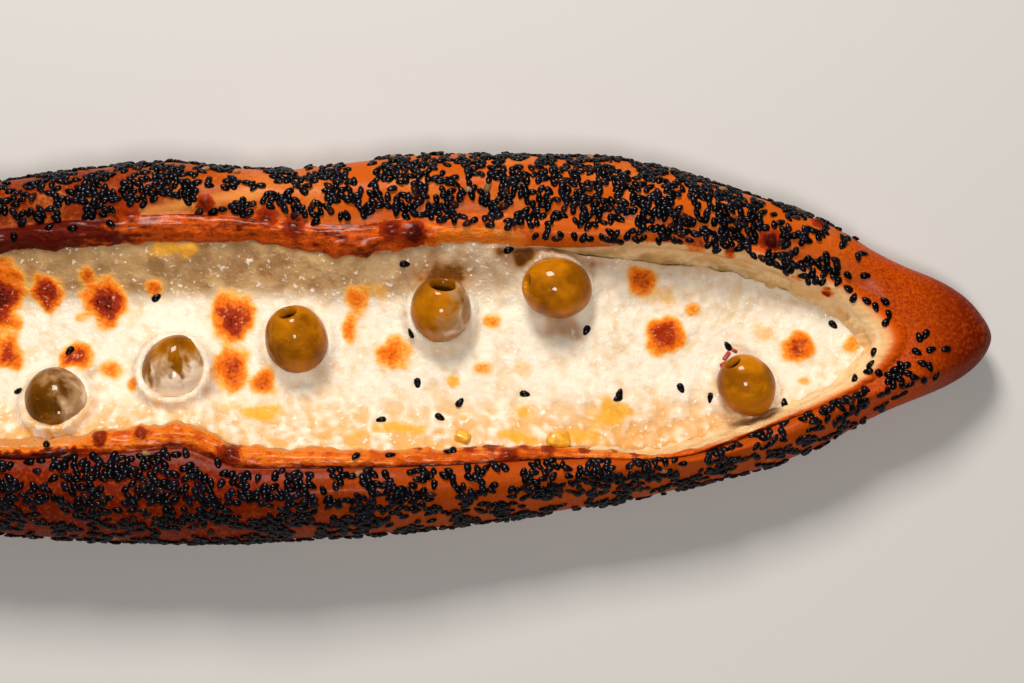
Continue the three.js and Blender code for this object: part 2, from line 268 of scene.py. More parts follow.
def rim_height(turn):
    """The rim is highest at the left, and lower at the right front and at both noses."""
    x = HALF_LENGTH * math.cos(turn)
    front = ramp(-2 * math.sin(turn), 0, 1) * ramp(x, 0, FRONT_DROP_FULL)
    towards_nose = ramp(abs(x), NOSE_SLOPE_START, HALF_LENGTH)
    middle = RIM_HEIGHT - FRONT_DROP * front
    return float(middle + (NOSE_HEIGHT - middle) * towards_nose)


@lru_cache(maxsize=None)
def rib_at(turn):
    """Outer edge, opening's edge, spine of the filling, rim height and the height at the spine."""
    opening = opening_edge(turn)
    spine = (opening + opening_edge(-turn)) / 2
    spine.x *= SPINE_REACH
    height = rim_height(turn)
    return outer_edge(turn), opening, spine, height, (height + rim_height(-turn)) / 2


def place_across(turn, across, inset, lift):
    """A point of a rib: across is 0 at the outer edge, 1 at the opening and 2 on the spine."""
    outer, opening, spine, height, spine_height = rib_at(turn)
    if across <= 1:
        point = outer.lerp(opening, across)
    else:
        point = opening.lerp(spine, across - 1)
    if inset != 0:
        point = point + inset * (spine - point).normalized()
    point.z = lift * (height + (spine_height - height) * max(0, across - 1))
    return point


print("width at the middle", round((outer_edge(1.5)[1] - outer_edge(-1.5)[1]) / mm, 1), "mm")

# %% [markdown]
# ## Extruding a boat, ring by ring
# A rim that goes all round is easiest to build like a basket: one ring of points is extruded again and
# again, and each new ring is set on its course. The last ring is pulled in to a line along the middle,
# where the points of the two sides meet and are merged. Each point keeps two numbers: turn, its place
# round the boat, and course, its place across the rim. Later they say where seeds, gloss and crumb go.


# %% Make the tools for rings
def select_only(piece):
    """Makes one object the selected and active one, because an operator acts on all that is selected."""
    for item in list(bpy.context.selected_objects):
        item.select_set(False)
    piece.select_set(True)
    bpy.context.view_layer.objects.active = piece


def add_first_ring(name, points):
    """A ring of points that each know their turn round the boat."""
    bpy.ops.mesh.primitive_circle_add(vertices=points, radius=HALF_LENGTH)
    ring = bpy.context.object
    ring.name = name
    select_only(ring)
    ring.data.attributes.new("course", "FLOAT", "POINT")
    turn = ring.data.attributes.new("turn", "FLOAT", "POINT")
    turn.data.foreach_set("value", [2 * math.pi * i / points for i in range(points)])
    return ring


def set_ring(piece, course, place):
    """Sets the selected ring of points on its course."""
    shape = bmesh.from_edit_mesh(piece.data)
    turns = shape.verts.layers.float["turn"]
    courses = shape.verts.layers.float["course"]
    for vertex in shape.verts:
        if vertex.select:
            vertex.co = place(vertex[turns])
            vertex[courses] = course
    bmesh.update_edit_mesh(piece.data)


def sort_rings(piece):
    """Numbers points, edges and faces alike in every run, because the scatter goes by their order."""
    shape = bmesh.from_edit_mesh(piece.data)
    turns = shape.verts.layers.float["turn"]
    courses = shape.verts.layers.float["course"]
    shape.verts.sort(key=lambda vertex: 10 * vertex[courses] + vertex[turns])
    shape.verts.index_update()

    def by_points(element):
        numbers = [vertex.index for vertex in element.verts]
        return min(numbers) * 1e6 + max(numbers)

    shape.edges.sort(key=by_points)
    shape.faces.sort(key=by_points)
    bmesh.update_edit_mesh(piece.data)


def build_boat(name, points, places):
    """A closed boat of rings: the first and the last of the places lie on the spine."""
    piece = add_first_ring(name, points)
    bpy.ops.object.mode_set(mode="EDIT")
    bpy.ops.mesh.select_mode(type="VERT")
    bpy.ops.mesh.select_all(action="SELECT")
    for course, place in enumerate(places):
        if course > 0:
            bpy.ops.mesh.extrude_region_move()
        set_ring(piece, course, place)
    sort_rings(piece)
    bpy.ops.mesh.select_all(action="SELECT")
    bpy.ops.mesh.remove_doubles(threshold=0.002 * mm)
    bpy.ops.mesh.normals_make_consistent(inside=False)
    bpy.ops.object.mode_set(mode="OBJECT")
    return piece


def apply_modifier(piece, kind, **settings):
    """Adds a modifier with its settings and applies it."""
    select_only(piece)
    modifier = piece.modifiers.new(kind.lower(), kind)
    for key, value in settings.items():
        setattr(modifier, key, value)
    bpy.ops.object.modifier_apply(modifier=modifier.name)


def read_points(piece):
    """The points of a mesh as an array, one row each."""
    flat = np.empty(3 * len(piece.data.vertices))
    piece.data.vertices.foreach_get("co", flat)
    return flat.reshape(-1, 3)


def write_points(piece, points):
    """Puts changed points back into the mesh."""
    piece.data.vertices.foreach_set("co", points.ravel())
    piece.data.update()


def read_number(piece, name):
    """A number that the mesh stores for each point, as an array."""
    values = np.empty(len(piece.data.vertices))
    piece.data.attributes[name].data.foreach_get("value", values)
    return values


def write_numbers(piece, **numbers):
    """Stores numbers for each point, by name, for the materials to read."""
    for name, values in numbers.items():
        if name not in piece.data.attributes:
            piece.data.attributes.new(name, "FLOAT", "POINT")
        piece.data.attributes[name].data.foreach_set("value", np.asarray(values, dtype=float))


def read_normals(piece):
    """Which way the surface faces at each point, as an array."""
    flat = np.empty(3 * len(piece.data.vertices))
    piece.data.vertex_normals.foreach_get("vector", flat)
    return flat.reshape(-1, 3)


def grain(points, size, offset=0.0):
    """Smooth noise between about -1 and 1 at each point. size is one length, or one for each axis."""
    scaled = points / np.asarray(size) + offset
    return np.array([noise.noise(row) for row in scaled.tolist()])


print("ring tools ready")

# %% [markdown]
# ## The crust
# The crust is one roll of dough: a flat underside, a bulging flank, a rounded top, a crease, and then a
# smooth lip that curls over the filling. On the inner side torn crumb falls to the floor of the boat.
# Every course below is one ring: across from the outer edge (0) to the opening (1) and the spine (2),
# an inset towards the middle, and a height as a share of the rim's. Two levels of subdivision round it.

# %% Build the crust's rings
CRUST_POINTS = 240
CRUST_COURSES = [
    (2, 0, 0),
    (1, 0, 0),
    (0, 8 * mm, 0),
    (0, 3.2 * mm, 0.05),
    (0, 1.0 * mm, 0.18),
    (0, 0, 0.38),
    (0.01, 0.5 * mm, 0.58),
    (0.06, 1.2 * mm, 0.76),
    (0.16, 1.4 * mm, 0.885),
    (0.3, 1.1 * mm, 0.965),
    (0.45, 0.3 * mm, 1.0),
    (0.6, 0, 0.995),
    (0.71, 0, 0.97),
    (0.77, 0, 0.94),
    (0.82, 0, 0.97),
    (0.9, 0, 0.985),
    (0.98, 0, 0.945),
    (1, 1.2 * mm, 0.87),
    (1, 2.2 * mm, 0.78),
    (1, 4 * mm, 0.62),
    (1, 7 * mm, 0.42),
    (1, 9 * mm, FLOOR_SHARE),
    (2, 0, FLOOR_SHARE),
]
CREASE_COURSE = 13
LIP_EDGE_COURSE = 17
CURL_START = 150 * mm
CURL_FULL = 210 * mm
CURL_TOP = 0.9  # up to this share of the rim's height
TORN_DEPTH = 2.2 * mm


def crust_place(across, inset, lift):
    """A function that gives the place of each point of one ring."""
    is_crumb = across == 1 and 0.5 < lift < 0.8
    is_outside = across < 0.5

    def place(turn):
        hollow = 0.0
        if is_crumb and math.sin(turn) > 0:
            # The crumb is torn out under the back lip
            x = OPENING_HALF_LENGTH * math.cos(turn)
            hollow = TORN_DEPTH * float(ramp(x, 70 * mm, 100 * mm) * fall(x, 150 * mm, 172 * mm))
        point = place_across(turn, across, inset - hollow, lift)
        if is_outside:
            # The underside and the flank curl up at the noses
            curl = NOSE_LIFT * ramp(abs(point.x), CURL_START, CURL_FULL)
            point.z += float(curl) * max(0, 1 - lift / CURL_TOP)
        return point

    return place


crust = build_boat("crust_dough", CRUST_POINTS, [crust_place(*course) for course in CRUST_COURSES])
apply_modifier(crust, "SUBSURF", levels=2, render_levels=2)
print("crust:", len(crust.data.polygons), "faces")

# %% [markdown]
# ## Zones of the dough
# The crust is one mesh, but its flank, its bare lip and its torn crumb each want a relief and a colour
# of their own. The number called course, which each point kept from its ring, says which is which. Each
# zone is a number between 0 and 1 with a soft border, which blends better than a group of faces.

# %% Mark the zones of the crust
points = read_points(crust)
courses = read_number(crust, "course")
normals = read_normals(crust)
along = points[:, 0]
at_back = ramp(points[:, 1] - middle_line(along), -4 * mm, 4 * mm)
flank = ramp(courses, 3, 6)
# Seeds come closer to the back edge towards the right, which leaves a narrow lip and then a thin one
narrow_lip = at_back * ramp(along, 36 * mm, 54 * mm)
thin_lip = at_back * ramp(along, 62 * mm, 84 * mm)
lip_start = CREASE_COURSE - 0.5 + 2.3 * narrow_lip
lip = ramp(courses, lip_start, lip_start + 1.2) * fall(courses, 17.0, 18.5)
crumb = ramp(courses, LIP_EDGE_COURSE - 0.2, LIP_EDGE_COURSE + 0.8)
pale_edge = ramp(along, 90 * mm, 120 * mm)
crumb = np.maximum(crumb, 0.75 * pale_edge * ramp(courses, 15.6, 16.6))
print("share of the points on the lip:", round(float(lip.mean()), 2))

# %% [markdown]
# ## Hand-made relief
# Real dough is never smooth. Slow noise swells the flank by about a millimetre. On the lip the noise is
# stretched along the boat, which gives the wrinkles of a stretched skin, and the crumb below is torn:
# coarse and sharp. Modifiers could do each of these, but here each move depends on the zone, so it is
# done point by point, along the normal.

# %% Roughen each zone
slow = grain(points, 26 * mm) + 0.5 * grain(points, 11 * mm, 7.3)
wrinkle = grain(points, (16 * mm, 2.2 * mm, 2.2 * mm), 3.1)
wrinkle += 0.5 * grain(points, (8 * mm, 1.2 * mm, 1.2 * mm), 9.7)
tear = grain(points, 5.5 * mm, 5.5) + 0.9 * (0.3 - np.abs(grain(points, 3 * mm, 1.9)))
shift = 0.9 * mm * slow * flank * (1 - crumb)
shift += 0.5 * mm * wrinkle * lip * (1 - 0.6 * thin_lip)
shift += 0.35 * mm * grain(points, 2.6 * mm, 8.1) * lip * (1 - 0.5 * at_back)
shift += 1.5 * mm * tear * crumb * ramp(courses, 17.5, 18.5) * fall(courses, 20.5, 21.5)
shift += 0.3 * mm * tear * crumb
print("the relief moves the dough by up to", round(float(np.abs(shift).max()) / mm, 1), "mm")

# %% [markdown]
# ## Blisters, a scorched edge and a pale streak
# Where the lip burnt, blisters stand up like knobs, and the front edge is scorched at the left. Behind
# the filling a streak of dough has lost its seeds and stayed pale. Noise makes each border ragged.
# Last, the lip's edge is pushed in and out, so that it ends in a jagged line over the cheese.

# %% Burn the crust and move its points
# Place along and across, radius and height in millimetres, and how dark
BACK_KNOBS = [
    (-22, 39.5, 2.2, 1.6, 0.8), (-45, 37, 2.6, 1.2, 0.5), (-3, 35, 2.6, 1.0, 0.8), (5, 32, 2.8, 0.8, 0.8),
    (35, 31, 2.8, 0.9, 0.8), (42, 30, 3.0, 0.8, 0.9), (151.5, 29, 2.6, 1.6, 0.95), (167, 36, 1.8, 1.4, 0.9),
    (139, 25.5, 1.6, 0.7, 0.5), (169, 13.5, 1.8, 0.8, 0.7), (128.6, 25.5, 3.0, 0.2, 0.35),
    (160, 17, 2.4, 0.3, 0.35), (177, -1, 2.6, 0.2, 0.3), (-95, 34, 2.4, 1.4, 0.8), (-128, 27, 2.6, 1.2, 0.7),
]
FRONT_KNOBS = [
    (-51, -34.5, 1.9, 1.9, 0.62), (-39, -33, 1.7, 1.6, 0.55), (-12.5, -38.5, 2.8, 1.5, 0.8),
    (-0.7, -33.5, 1.6, 0.8, 0.5), (44, -35.6, 1.2, 0.8, 0.6), (59, -35, 1.8, 0.8, 0.7),
    (65.5, -35.2, 1.9, 0.8, 0.7), (71, -38.3, 2.4, 0.9, 0.7), (75.5, -34.6, 1.6, 0.9, 0.55),
    (83, -35.8, 1.7, 0.7, 0.7), (94, -35.4, 1.6, 0.8, 0.6), (103, -35, 1.7, 0.9, 0.5),
    (109, -37, 1.3, 0.7, 0.8), (126, -32, 1.4, 0.9, 0.5), (133.6, -28, 1.6, 1.3, 0.7),
    (147, -23.6, 1.5, 1.4, 0.4), (-98, -35, 2.0, 1.4, 0.8), (-130, -29, 1.9, 1.2, 0.7),
]
PALE_STREAK = {"start": -44 * mm, "end": -4 * mm, "across": 36.3 * mm, "slope": 0.17, "width": 3.15 * mm}
EDGE_REACH = 1.2 * mm

burnt = np.zeros(len(points))
rough_edge = grain(points, 1.4 * mm, 3.6)
for x, y, radius, height, darkness in BACK_KNOBS + FRONT_KNOBS:
    away = np.hypot(along - x * mm, points[:, 1] - y * mm) / (radius * mm) + 0.4 * rough_edge
    near = np.exp(-(away**2)) * fall(courses, 16.9, 17.6) * (points[:, 2] > 15 * mm)
    shift += height * mm * near * (1 + 0.6 * rough_edge)
    burnt = np.maximum(burnt, darkness * np.minimum(1, 1.6 * near))
scorched = (1 - at_back) * fall(along, -60 * mm, -50 * mm) * ramp(courses, 12.4, 13.2)
scorched *= fall(courses + 0.8 * rough_edge, 14.0, 15.0) * ramp(slow, -0.5, 0.1)
burnt = np.maximum(burnt, 0.95 * scorched)

off_streak = points[:, 1] - PALE_STREAK["across"] - PALE_STREAK["slope"] * (along - PALE_STREAK["start"])
off_streak = np.abs(off_streak) + 0.8 * mm * (slow + rough_edge)
pale = 0.85 * fall(off_streak, 0.1 * mm, PALE_STREAK["width"]) * (points[:, 2] > 20 * mm)
pale *= ramp(along, PALE_STREAK["start"] - 4 * mm, PALE_STREAK["start"] + 4 * mm) * at_back
pale *= fall(along, PALE_STREAK["end"] - 5 * mm, PALE_STREAK["end"] + 5 * mm)

jag = grain(points, (5 * mm, 30 * mm, 30 * mm), 2.2)
jag += 0.7 * grain(points, (2.4 * mm, 30 * mm, 30 * mm), 4.4)
points += shift[:, None] * normals
edge = np.exp(-(((courses - 16.8) / 1.1) ** 2)) * (1 - 0.75 * ramp(along, 60 * mm, 90 * mm))
points[:, 1] -= (2 * at_back - 1) * edge * EDGE_REACH * jag
points[:, 2] = np.maximum(points[:, 2], 0)
write_points(crust, points)
select_only(crust)
bpy.ops.object.shade_smooth()
print("crust height", round(points[:, 2].max() / mm, 1), "mm")

# %% [markdown]
# ## Numbers for the colours
# The material will ask each point what it is: lip, crumb, burnt or pale, at the back or in front. Glow
# says how bright the lip is. In front it is bright orange and paler to the left, and at the back it is
# darkest at the left. Painted textures could say the same, but numbers keep in step with the shape.

# %% Store the numbers with the crust
back_glow = -0.6 + 0.72 * ramp(along, -105 * mm, -20 * mm) + 0.6 * ramp(along, 34 * mm, 58 * mm)
front_glow = 0.5 + 0.42 * fall(along, -75 * mm, -40 * mm) * ramp(courses, 14.2, 15.2)
front_glow += 1.0 * ramp(courses, 15.9, 17.0) * (1 - 0.5 * ramp(along, -30 * mm, -8 * mm))
front_glow -= 0.6 * fall(courses, 13.2, 14.4) + 0.18 * ramp(along, 20 * mm, 50 * mm)
glow = at_back * back_glow + (1 - at_back) * front_glow
write_numbers(
    crust,
    lip=lip * (1 - 0.8 * thin_lip) * (1 - 0.7 * ramp(along, 150 * mm, 175 * mm)),
    crumb=crumb,
    # deep marks the crumb that lies hollow under the back lip, where the material paints shade
    deep=crumb * ramp(courses, 17.8, 19.4) * at_back * fall(along, 150 * mm, 172 * mm),
    rim_warmth=ramp(courses, 12.5, 16.4) * ramp(along, 95 * mm, 150 * mm),
    at_back=at_back,
    glow=glow,
    burnt=burnt,
    pale=pale,
)
print("the lip glows from", round(float(glow.min()), 2), "to", round(float(glow.max()), 2))

# %% [markdown]
# ## Material helpers
# Every finish is a small network of nodes on the Principled shader. A few helpers keep the networks
# short. They add a node and fill in its sockets, go from one colour to another by a number, do sums,
# and give noise and bump. A number may be a plain one, or one that the mesh stores at its points.


# %% Write the material helpers
def start_material(name, **sockets):
    """A material with one Principled shader whose plain sockets are set."""
    material = bpy.data.materials.new(name)
    material.use_nodes = True
    shader = material.node_tree.nodes["Principled BSDF"]
    for key, value in sockets.items():
        shader.inputs[key.replace("_", " ")].default_value = value
    return material, material.node_tree, shader


def fill_socket(tree, socket, value):
    """Links another node's output to a socket, or sets it to a plain value."""
    if isinstance(value, bpy.types.NodeSocket):
        tree.links.new(value, socket)
    else:
        socket.default_value = value


def add_node(tree, kind, inputs=None, **settings):
    """A node with its settings, whose inputs are numbers, colours or other nodes' outputs."""
    node = tree.nodes.new(kind)
    for key, value in settings.items():
        setattr(node, key, value)
    for key, value in (inputs or {}).items():
        fill_socket(tree, node.inputs[key], value)
    return node


def reckon(tree, operation, first, second=0.0):
    """A sum on one or two numbers."""
    return add_node(tree, "ShaderNodeMath", {0: first, 1: second}, operation=operation).outputs["Value"]


def plus(tree, first, second):
    return reckon(tree, "ADD", first, second)


def minus(tree, first, second):
    return reckon(tree, "SUBTRACT", first, second)


def times(tree, first, second):
    return reckon(tree, "MULTIPLY", first, second)


def number_from(tree, name):
    """A number that the mesh stores at its points."""
    return add_node(tree, "ShaderNodeAttribute", attribute_name=name).outputs["Fac"]


def spread(tree, value, low, high):
    """Stretches a number so that low becomes 0 and high becomes 1, with a soft start and end."""
    inputs = {"Value": value, "From Min": low, "From Max": high}
    return add_node(tree, "ShaderNodeMapRange", inputs, interpolation_type="SMOOTHSTEP").outputs["Result"]


def even_range(tree, value, start, end, top=1.0):
    """Goes evenly from start to end as a number goes from 0 to top."""
    inputs = {"Value": value, "From Max": top, "To Min": start, "To Max": end}
    return add_node(tree, "ShaderNodeMapRange", inputs).outputs["Result"]


def color_by(tree, amount, low, high):
    """Goes from one colour to another as amount, a socket, goes from 0 to 1."""
    mix = add_node(tree, "ShaderNodeMix", {0: amount}, data_type="RGBA")
    for index, color in ((6, low), (7, high)):
        fill_socket(tree, mix.inputs[index], (*color, 1) if isinstance(color, tuple) else color)
    return mix.outputs[2]


def fade(tree, number, low, high, start, end, strength=1.0):
    """Goes from one colour to another as a number goes from low to high, or only part of the way."""
    amount = spread(tree, number, low, high)
    if strength != 1:
        amount = times(tree, amount, strength)
    return color_by(tree, amount, start, end)


def noise_at(tree, size, detail=4.0, stretch=None, distortion=0.0):
    """Noise on Object coordinates whose largest lumps are about this size."""
    place = add_node(tree, "ShaderNodeTexCoord").outputs["Object"]
    if stretch:
        place = add_node(tree, "ShaderNodeMapping", {"Vector": place, "Scale": stretch}).outputs["Vector"]
    inputs = {"Vector": place, "Scale": 1 / size, "Detail": detail, "Distortion": distortion}
    return add_node(tree, "ShaderNodeTexNoise", inputs).outputs["Fac"]


def about_zero(tree, pattern, reach):
    """Noise lies about a half. This moves it to lie about 0, and makes it stronger or weaker."""
    return times(tree, minus(tree, pattern, 0.5), reach)


def bump(tree, shader, height, distance, strength=1.0, below=None, socket="Normal"):
    """Small relief for the shader's surface or its coat, on top of the relief below it."""
    inputs = {"Height": height, "Distance": distance, "Strength": strength}
    if below:
        inputs["Normal"] = below
    normal = add_node(tree, "ShaderNodeBump", inputs).outputs["Normal"]
    tree.links.new(normal, shader.inputs[socket])
    return normal


print("material helpers ready")

# %% [markdown]
# ## The finish of baked dough
# Egg wash and heat give the crust its deep orange brown: golden at the back and a darker red at the front,
# which is partly the dough's own colour and partly painted shade, because the front faces away from the
# largest lamp. Pale mottling at the back is partly real mottling and partly a painted sheen. The crust is
# darkest on the flank and the noses. The bare lip is red and glossy with fine fibres along it, blisters are
# nearly black, and torn crumb stays cream, with painted shade in its hollow pockets. The colours are mixed
# by the numbers that the mesh carries, and noise breaks each border. Pores and fibres come from bump,
# because they are too small for the mesh.

# %% Mix the crust's material
GOLDEN_DOUGH = (0.52, 0.085, 0.003)
PALE_DOUGH = (0.72, 0.27, 0.06)
FRONT_RED_AND_SHADE = (0.16, 0.01, 0.0003)
TIP_DOUGH = (0.14, 0.007, 0.0001)
SHADED_DOUGH = (0.22, 0.022, 0.0008)
FRONT_ORANGE_AND_SHADE = (0.4, 0.055, 0.0015)
NOSE_BROWN = (0.42, 0.046, 0.0004)
NOSE_LIGHT = (0.54, 0.082, 0.001)
NOSE_DARK = (0.25, 0.017, 0.0001)
LIP_RED = (0.1, 0.005, 0.0004)
LIP_ORANGE = (0.62, 0.085, 0.004)
LIP_BRIGHT = (0.86, 0.2, 0.012)
LIP_PALE = (0.68, 0.29, 0.085)
CRUMB_CREAM = (0.84, 0.6, 0.33)
CRUMB_SHADE = (0.8, 0.49, 0.21)
CRUMB_HOLLOW_SHADE = (0.56, 0.35, 0.12)
STAIN_ORANGE = (0.75, 0.17, 0.012)
STAIN_RED = (0.3, 0.025, 0.002)
BURNT_RED = (0.25, 0.02, 0.0015)
BURNT_BLACK = (0.05, 0.003, 0.0008)
SPECKLE_ORANGE = (0.55, 0.1, 0.003)
BASE_BROWN = (0.2, 0.05, 0.008)
PORES_PER_METRE = 1100.0


def mix_dough(tree, fine, axes):
    """Seeded dough: golden at the back, a darker red in front that is partly painted shade, a painted sheen
    in the pale mottling at the back, grainy at the noses and dark at the tips.
    """
    at_back = number_from(tree, "at_back")
    # In front the dough is partly its own darker red and partly painted shade, as the front faces away from
    # the largest lamp.
    front = fade(tree, axes["X"], -20 * mm, 70 * mm, FRONT_RED_AND_SHADE, FRONT_ORANGE_AND_SHADE)
    back = fade(tree, axes["X"], -55 * mm, 5 * mm, SHADED_DOUGH, GOLDEN_DOUGH)
    dough = color_by(tree, at_back, front, back)
    # The pale mottling at the back is partly real mottling and partly a painted sheen of the back lamp.
    mottled = plus(tree, noise_at(tree, 20 * mm, 3.0), about_zero(tree, fine, 0.5))
    uneven = times(tree, spread(tree, mottled, 0.42, 0.75), times(tree, at_back, 0.5))
    dough = color_by(tree, uneven, dough, PALE_DOUGH)
    nose_grain = noise_at(tree, 0.8 * mm, 3.0)
    grainy = fade(tree, nose_grain, 0.3, 0.5, NOSE_DARK, NOSE_BROWN)
    grainy = fade(tree, nose_grain, 0.5, 0.7, grainy, NOSE_LIGHT)
    from_middle = reckon(tree, "ABSOLUTE", axes["X"])
    dough = fade(tree, from_middle, 160 * mm, 190 * mm, dough, grainy)
    dough = fade(tree, from_middle, 190 * mm, 217 * mm, dough, TIP_DOUGH)
    dough = fade(tree, fine, 0.46, 0.7, dough, SPECKLE_ORANGE, strength=0.32)
    return color_by(tree, number_from(tree, "pale"), dough, PALE_DOUGH)


def mix_lip(tree, fibres):
    """The bare lip, from dark red to pale orange by its glow and three sizes of noise."""
    broad = noise_at(tree, 7 * mm, 3.0, stretch=(0.5, 1.0, 1.0))
    mottle = noise_at(tree, 2.6 * mm, 4.0)
    shade = plus(tree, number_from(tree, "glow"), times(tree, mottle, 0.9))
    streaks = plus(tree, times(tree, broad, 0.9), times(tree, fibres, 0.8))
    shade = plus(tree, minus(tree, shade, 0.6), streaks)
    color = fade(tree, shade, 0.5, 0.98, LIP_RED, LIP_ORANGE)
    color = fade(tree, shade, 0.95, 1.3, color, LIP_BRIGHT)
    return fade(tree, shade, 1.35, 1.75, color, LIP_PALE)


def mix_crumb(tree):
    """Torn crumb: cream with a painted shade of darker cream in its pockets, and brown painted shade where
    it is hollow.
    """
    pockets = noise_at(tree, 4 * mm, 5.0, stretch=(0.7, 1.0, 1.3))
    color = fade(tree, pockets, 0.38, 0.6, CRUMB_SHADE, CRUMB_CREAM)
    hollow = times(tree, number_from(tree, "deep"), spread(tree, pockets, 0.65, 0.42))
    return color_by(tree, hollow, color, CRUMB_HOLLOW_SHADE)


def burn(tree, color, fine):
    """A stain round each burnt place, then dark red, and nearly black in the middle."""
    darkness = plus(tree, number_from(tree, "burnt"), about_zero(tree, fine, 0.5))
    stain = fade(tree, number_from(tree, "crumb"), 0.2, 0.6, STAIN_RED, STAIN_ORANGE)
    color = fade(tree, darkness, 0.1, 0.38, color, stain)
    color = fade(tree, darkness, 0.4, 0.65, color, BURNT_RED)
    return fade(tree, darkness, 0.6, 0.98, color, BURNT_BLACK)


def make_crust_material():
    material, tree, shader = start_material(
        "baked_crust", Subsurface_Weight=0.05, Subsurface_Scale=0.002, Specular_IOR_Level=0.04,
        Coat_Roughness=0.18)
    place = add_node(tree, "ShaderNodeTexCoord").outputs["Object"]
    axes = add_node(tree, "ShaderNodeSeparateXYZ", {"Vector": place}).outputs
    fine = noise_at(tree, 1.2 * mm, 6.0)
    fibres = noise_at(tree, 1.3 * mm, 5.0, stretch=(0.24, 1.0, 1.0))
    lip = number_from(tree, "lip")
    lip_edge = plus(tree, lip, times(tree, fine, 0.2))
    color = fade(tree, lip_edge, 0.4, 0.7, mix_dough(tree, fine, axes), mix_lip(tree, fibres))
    warmth = number_from(tree, "rim_warmth")
    color = fade(tree, warmth, 0.1, 0.6, color, LIP_ORANGE)
    color = fade(tree, warmth, 0.5, 1.0, color, CRUMB_SHADE)
    crumb_edge = plus(tree, number_from(tree, "crumb"), times(tree, fine, 0.5))
    color = fade(tree, crumb_edge, 0.45, 0.9, color, mix_crumb(tree))
    color = burn(tree, color, fine)
    color = fade(tree, axes["Z"], 5 * mm, 0.0, color, BASE_BROWN)
    tree.links.new(color, shader.inputs["Base Color"])
    tree.links.new(even_range(tree, lip, 0.46, 0.34), shader.inputs["Roughness"])
    tree.links.new(plus(tree, times(tree, lip, 0.13), 0.04), shader.inputs["Coat Weight"])
    pores = add_node(tree, "ShaderNodeTexVoronoi", {"Vector": place, "Scale": PORES_PER_METRE})
    first = bump(tree, shader, pores.outputs["Distance"], 0.1 * mm, 0.3)
    second = bump(tree, shader, fine, 0.5 * mm, 0.4, below=first)
    ridges = times(tree, plus(tree, fibres, fine), lip)
    bump(tree, shader, ridges, 1.2 * mm, 0.8, below=second)
    return material


crust.data.materials.append(make_crust_material())
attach(crust, "root")
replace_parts(crust, "crust")
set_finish(crust, "crust")
print("crust material mixed")

# %% [markdown]
# ## The cheese
# Melted cheese fills the boat to a little below the lip. It climbs the sides, sinks towards the middle,
# and is lumpy with curds that haven't quite melted. It is built as a second boat of rings inside the
# first, from its hidden underside up and in over the top to the spine.

# %% Build the cheese's rings
CHEESE_POINTS = 320
CHEESE_TOP_COURSE = 4
CHEESE_INWARD = [0, 0.07, 0.15, 0.25, 0.37, 0.5, 0.65, 0.82, 1]
CHEESE_ABOVE_FLOOR = 0.6 * mm


def climb(x):
    """How far the cheese climbs up to the lip: all the way along the boat, but not at its right end."""
    return float(fall(x, 70 * mm, 120 * mm))


def cheese_side(across, inset, lift):
    """A function that gives the place of each point of a ring on the hidden underside."""
    def place(turn):
        point = place_across(turn, across, inset, lift)
        point.z += CHEESE_ABOVE_FLOOR
        return point

    return place


def cheese_top(inward):
    """A function for a ring of the top: inward is 0 at the lip and 1 on the spine."""
    def place(turn):
        _, opening, spine, _, spine_height = rib_at(turn)
        up = climb(opening.x)
        edge = place_across(turn, 1, (2.8 - 3.4 * up) * mm, 0.605 + 0.25 * up)
        point = edge.lerp(spine, inward)
        sink = float(ramp(inward * 1.8, 0, 1))
        point.z = edge.z + (CHEESE_SHARE * spine_height - edge.z) * sink
        return point

    return place


cheese_places = [
    cheese_side(2, 0, FLOOR_SHARE),
    cheese_side(1, 9 * mm, FLOOR_SHARE),
    cheese_side(1, 6.5 * mm, 0.44),
    cheese_side(1, 4.6 * mm, 0.56),
] + [cheese_top(inward) for inward in CHEESE_INWARD]
cheese = build_boat("melted_cheese", CHEESE_POINTS, cheese_places)
apply_modifier(cheese, "SUBSURF", levels=2, render_levels=2)
print("cheese:", len(cheese.data.polygons), "faces")

# %% [markdown]
# ## Where things lie on the cheese
# The olives lie where their solids do. Each has a middle, a size and the way that the hole of its pit
# points. Browned spots are where fat and heat met: each has a place, its two widths and how dark it is.
# Yellow fat, and the painted brown shadow beside the olives, lie in patches of the same kind.

# %% Name the places
OLIVE_LENGTH = 23 * mm
OLIVE_WIDTH = 19.5 * mm
# name: middle, size, way of the pit's hole, how much cheese covers it, how brown
OLIVES = {
    "olive_1": ((-138, -8, 22.5), 0.95, (-0.3, 0.4, 0.9), 0.6, 0.3),
    "olive_2": ((-102, 7, 24.5), 1.02, (0.7, 0.5, 0.5), 0.3, 0.2),
    "olive_3": ((-66.5, -20.8, 25.5), 1.0, (-0.3, 0.75, -0.5), 0.75, 0.95),
    "olive_4": ((-31.5, -11, 22.5), 1.06, (-0.25, -0.8, -0.55), 1.25, 0.45),
    "olive_5": ((6, -1.5, 25.5), 1.0, (-0.22, 0.64, 0.74), 0.1, 0.22),
    "olive_6": ((50, 7.5, 25.5), 0.98, (0.1, 0.74, 0.66), 0.8, 0.25),
    "olive_7": ((86, 14.8, 26.5), 0.98, (-0.9, 0.05, 0.36), 0.05, 0.02),
    "olive_8": ((143.8, -15.3, 24), 0.9, (-0.5, 0.6, 0.6), 0.1, -0.05),
}
